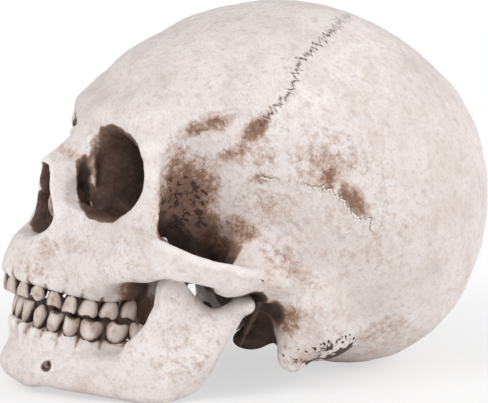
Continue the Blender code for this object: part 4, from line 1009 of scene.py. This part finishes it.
drawn = steel()
wire, curl, pitch, curls, shank, groove_off = .35, 2.2, 1.6, 11, .9, 2.93
for side_name, flip in (("left", 1), ("right", -1)):
    middles = [sum(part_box(f"spring_screw_{end}_{side_name}"), Vector()) * 500 for end in ("upper", "lower")]
    off = np.array((flip * groove_off, 0, 0))
    upper, lower = np.array(middles[0]) + off, np.array(middles[1]) - off
    axis = (lower - upper) / np.linalg.norm(lower - upper)
    outwards = np.array((flip, 0, 0)) - axis * (axis[0] * flip)
    outwards /= np.linalg.norm(outwards)
    side = np.cross(outwards, axis)
    third = np.cross(axis, side)
    span, ring = np.linalg.norm(lower - upper), shank + .3 + wire
    start = (span - curls * pitch) / 2
    t = np.radians(np.linspace(270, 0, 28))[:, None]
    hook_out = side * np.cos(t) - axis * np.sin(t)
    u = np.linspace(0, curls, curls * 24 + 1)[:, None]
    coil_out = side * np.cos(2 * np.pi * u) + third * np.sin(2 * np.pi * u)
    foot_out = side * np.cos(t[::-1]) + axis * np.sin(t[::-1])
    line = np.concatenate([upper + hook_out * ring, [upper + axis * (start - 4 * wire) + side * curl],
                           upper + axis * (start + pitch * u) + coil_out * curl,
                           [lower - axis * (start - 4 * wire) + side * curl], lower + foot_out * ring])
    reference = np.concatenate([hook_out, [side], coil_out, [side], foot_out])
    spring = ring_object("jaw_extension_spring_" + side_name, tube(line, reference, wire))
    spring.data.materials.append(drawn)
    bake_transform(spring)
    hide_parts("jaw_spring_" + side_name)
    for end, body, place, aim in (("upper", "skull", upper, outwards),
                                  ("lower", "lower_jaw", lower, -outwards)):
        # a pan-headed screw: shank with a thread, neck, flat underside, rounded rim and a sunk middle
        head_heights = [.65, .65, .8, 1.5, 1.75, 1.85, 1.85, 1.3, 1.3]
        heights = np.concatenate([np.linspace(-7.6, .6, 60), head_heights])[:, None]
        radii = np.concatenate([np.full(60, .8), [.9, 2.0, 2.2, 2.2, 2.0, 1.6, .8, .7, .1]])[:, None]
        turns = np.linspace(0, 2 * np.pi, 24, endpoint=False)
        radii = radii + np.where(heights < -.6, .1 * np.sin(2 * np.pi * heights / .7 - turns), 0)
        around = axis * np.cos(turns)[:, None] + np.cross(aim, axis) * np.sin(turns)[:, None]
        grid = place + aim * heights[..., None] + radii[..., None] * around
        screw = ring_object(f"pan_screw_{end}_{side_name}", grid)
        screw.data.materials.append(drawn)
        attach(screw, body)
        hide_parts(f"spring_screw_{end}_{side_name}")

# Camera.
# At the photographed angle: 70 degrees round from the front towards the
# skull's left, and 9 degrees above level.
camera = bpy.data.objects.new("camera", bpy.data.cameras.new("camera"))
scene.collection.objects.link(camera)
scene.camera = camera
camera.data.lens, camera.data.sensor_width = 156, 36
camera.data.clip_start, camera.data.clip_end = .01, 20
turn, rise = math.radians(70), math.radians(9)
back = Vector((math.sin(turn) * math.cos(rise), -math.cos(turn) * math.cos(rise), math.sin(rise)))
camera.location = Vector((0, 0, .0715)) + back * .9
camera.rotation_mode = "QUATERNION"
camera.rotation_quaternion = (-back).to_track_quat("-Z", "Y")

# Floor and light.
# A plain pale table top, with broad soft lamps and an even white surround.
floor = mesh_object("floor", np.array([(-3, -3, 0), (3, -3, 0), (3, 3, 0), (-3, 3, 0)]) * 1000 - (0, 0, .2),
                    [(0, 1, 2, 3)])
surface = bpy.data.materials.new("table_top")
surface.use_nodes = True
tree = surface.node_tree
top, glow = tree.nodes["Principled BSDF"], tree.nodes.new("ShaderNodeEmission")
both, last = tree.nodes.new("ShaderNodeMixShader"), tree.nodes.new("ShaderNodeMixShader")
top.inputs["Base Color"].default_value = (.9, .9, .9, 1)
top.inputs["Roughness"].default_value = .8
spread = tree.nodes.new("ShaderNodeVectorMath")
spread.operation = "LENGTH"
tree.links.new(tree.nodes.new("ShaderNodeTexCoord").outputs["Object"], spread.inputs[0])
tree.links.new(line_of(step_up(spread.outputs["Value"], .1, .3), .4, .6, clamp=True),
               both.inputs["Fac"])
tree.links.new(top.outputs[0], both.inputs[1])
tree.links.new(glow.outputs[0], both.inputs[2])
tree.links.new(tree.nodes.new("ShaderNodeLightPath").outputs["Is Camera Ray"], last.inputs["Fac"])
tree.links.new(top.outputs[0], last.inputs[1])
tree.links.new(both.outputs[0], last.inputs[2])
tree.links.new(last.outputs[0], tree.nodes["Material Output"].inputs["Surface"])
floor.data.materials.append(surface)

for name, place, size, watts in (("key", (.5, -1.1, .85), .9, 8.3), ("fill", (.7, 1.2, .7), 1.2, 11),
                                 ("side", (1.4, -.4, .15), 1.0, 2)):
    lamp = bpy.data.objects.new(name, bpy.data.lights.new(name, "AREA"))
    scene.collection.objects.link(lamp)
    lamp.data.shape, lamp.data.size, lamp.data.energy = "DISK", size, watts
    lamp.location = place
    lamp.rotation_mode = "QUATERNION"
    lamp.rotation_quaternion = (Vector((0, 0, .07)) - Vector(place)).to_track_quat("-Z", "Y")
world = bpy.data.worlds.new("surround")
scene.world = world
world.use_nodes = True
tree = world.node_tree
even, seen = tree.nodes["Background"], tree.nodes.new("ShaderNodeBackground")
either = tree.nodes.new("ShaderNodeMixShader")
even.inputs["Strength"].default_value = .55
seen.inputs["Strength"].default_value = 1
even.inputs["Color"].default_value = seen.inputs["Color"].default_value = (1, 1, 1, 1)
tree.links.new(tree.nodes.new("ShaderNodeLightPath").outputs["Is Camera Ray"], either.inputs["Fac"])
tree.links.new(even.outputs[0], either.inputs[1])
tree.links.new(seen.outputs[0], either.inputs[2])
tree.links.new(either.outputs[0], tree.nodes["World Output"].inputs["Surface"])
scene.view_settings.view_transform = "Standard"
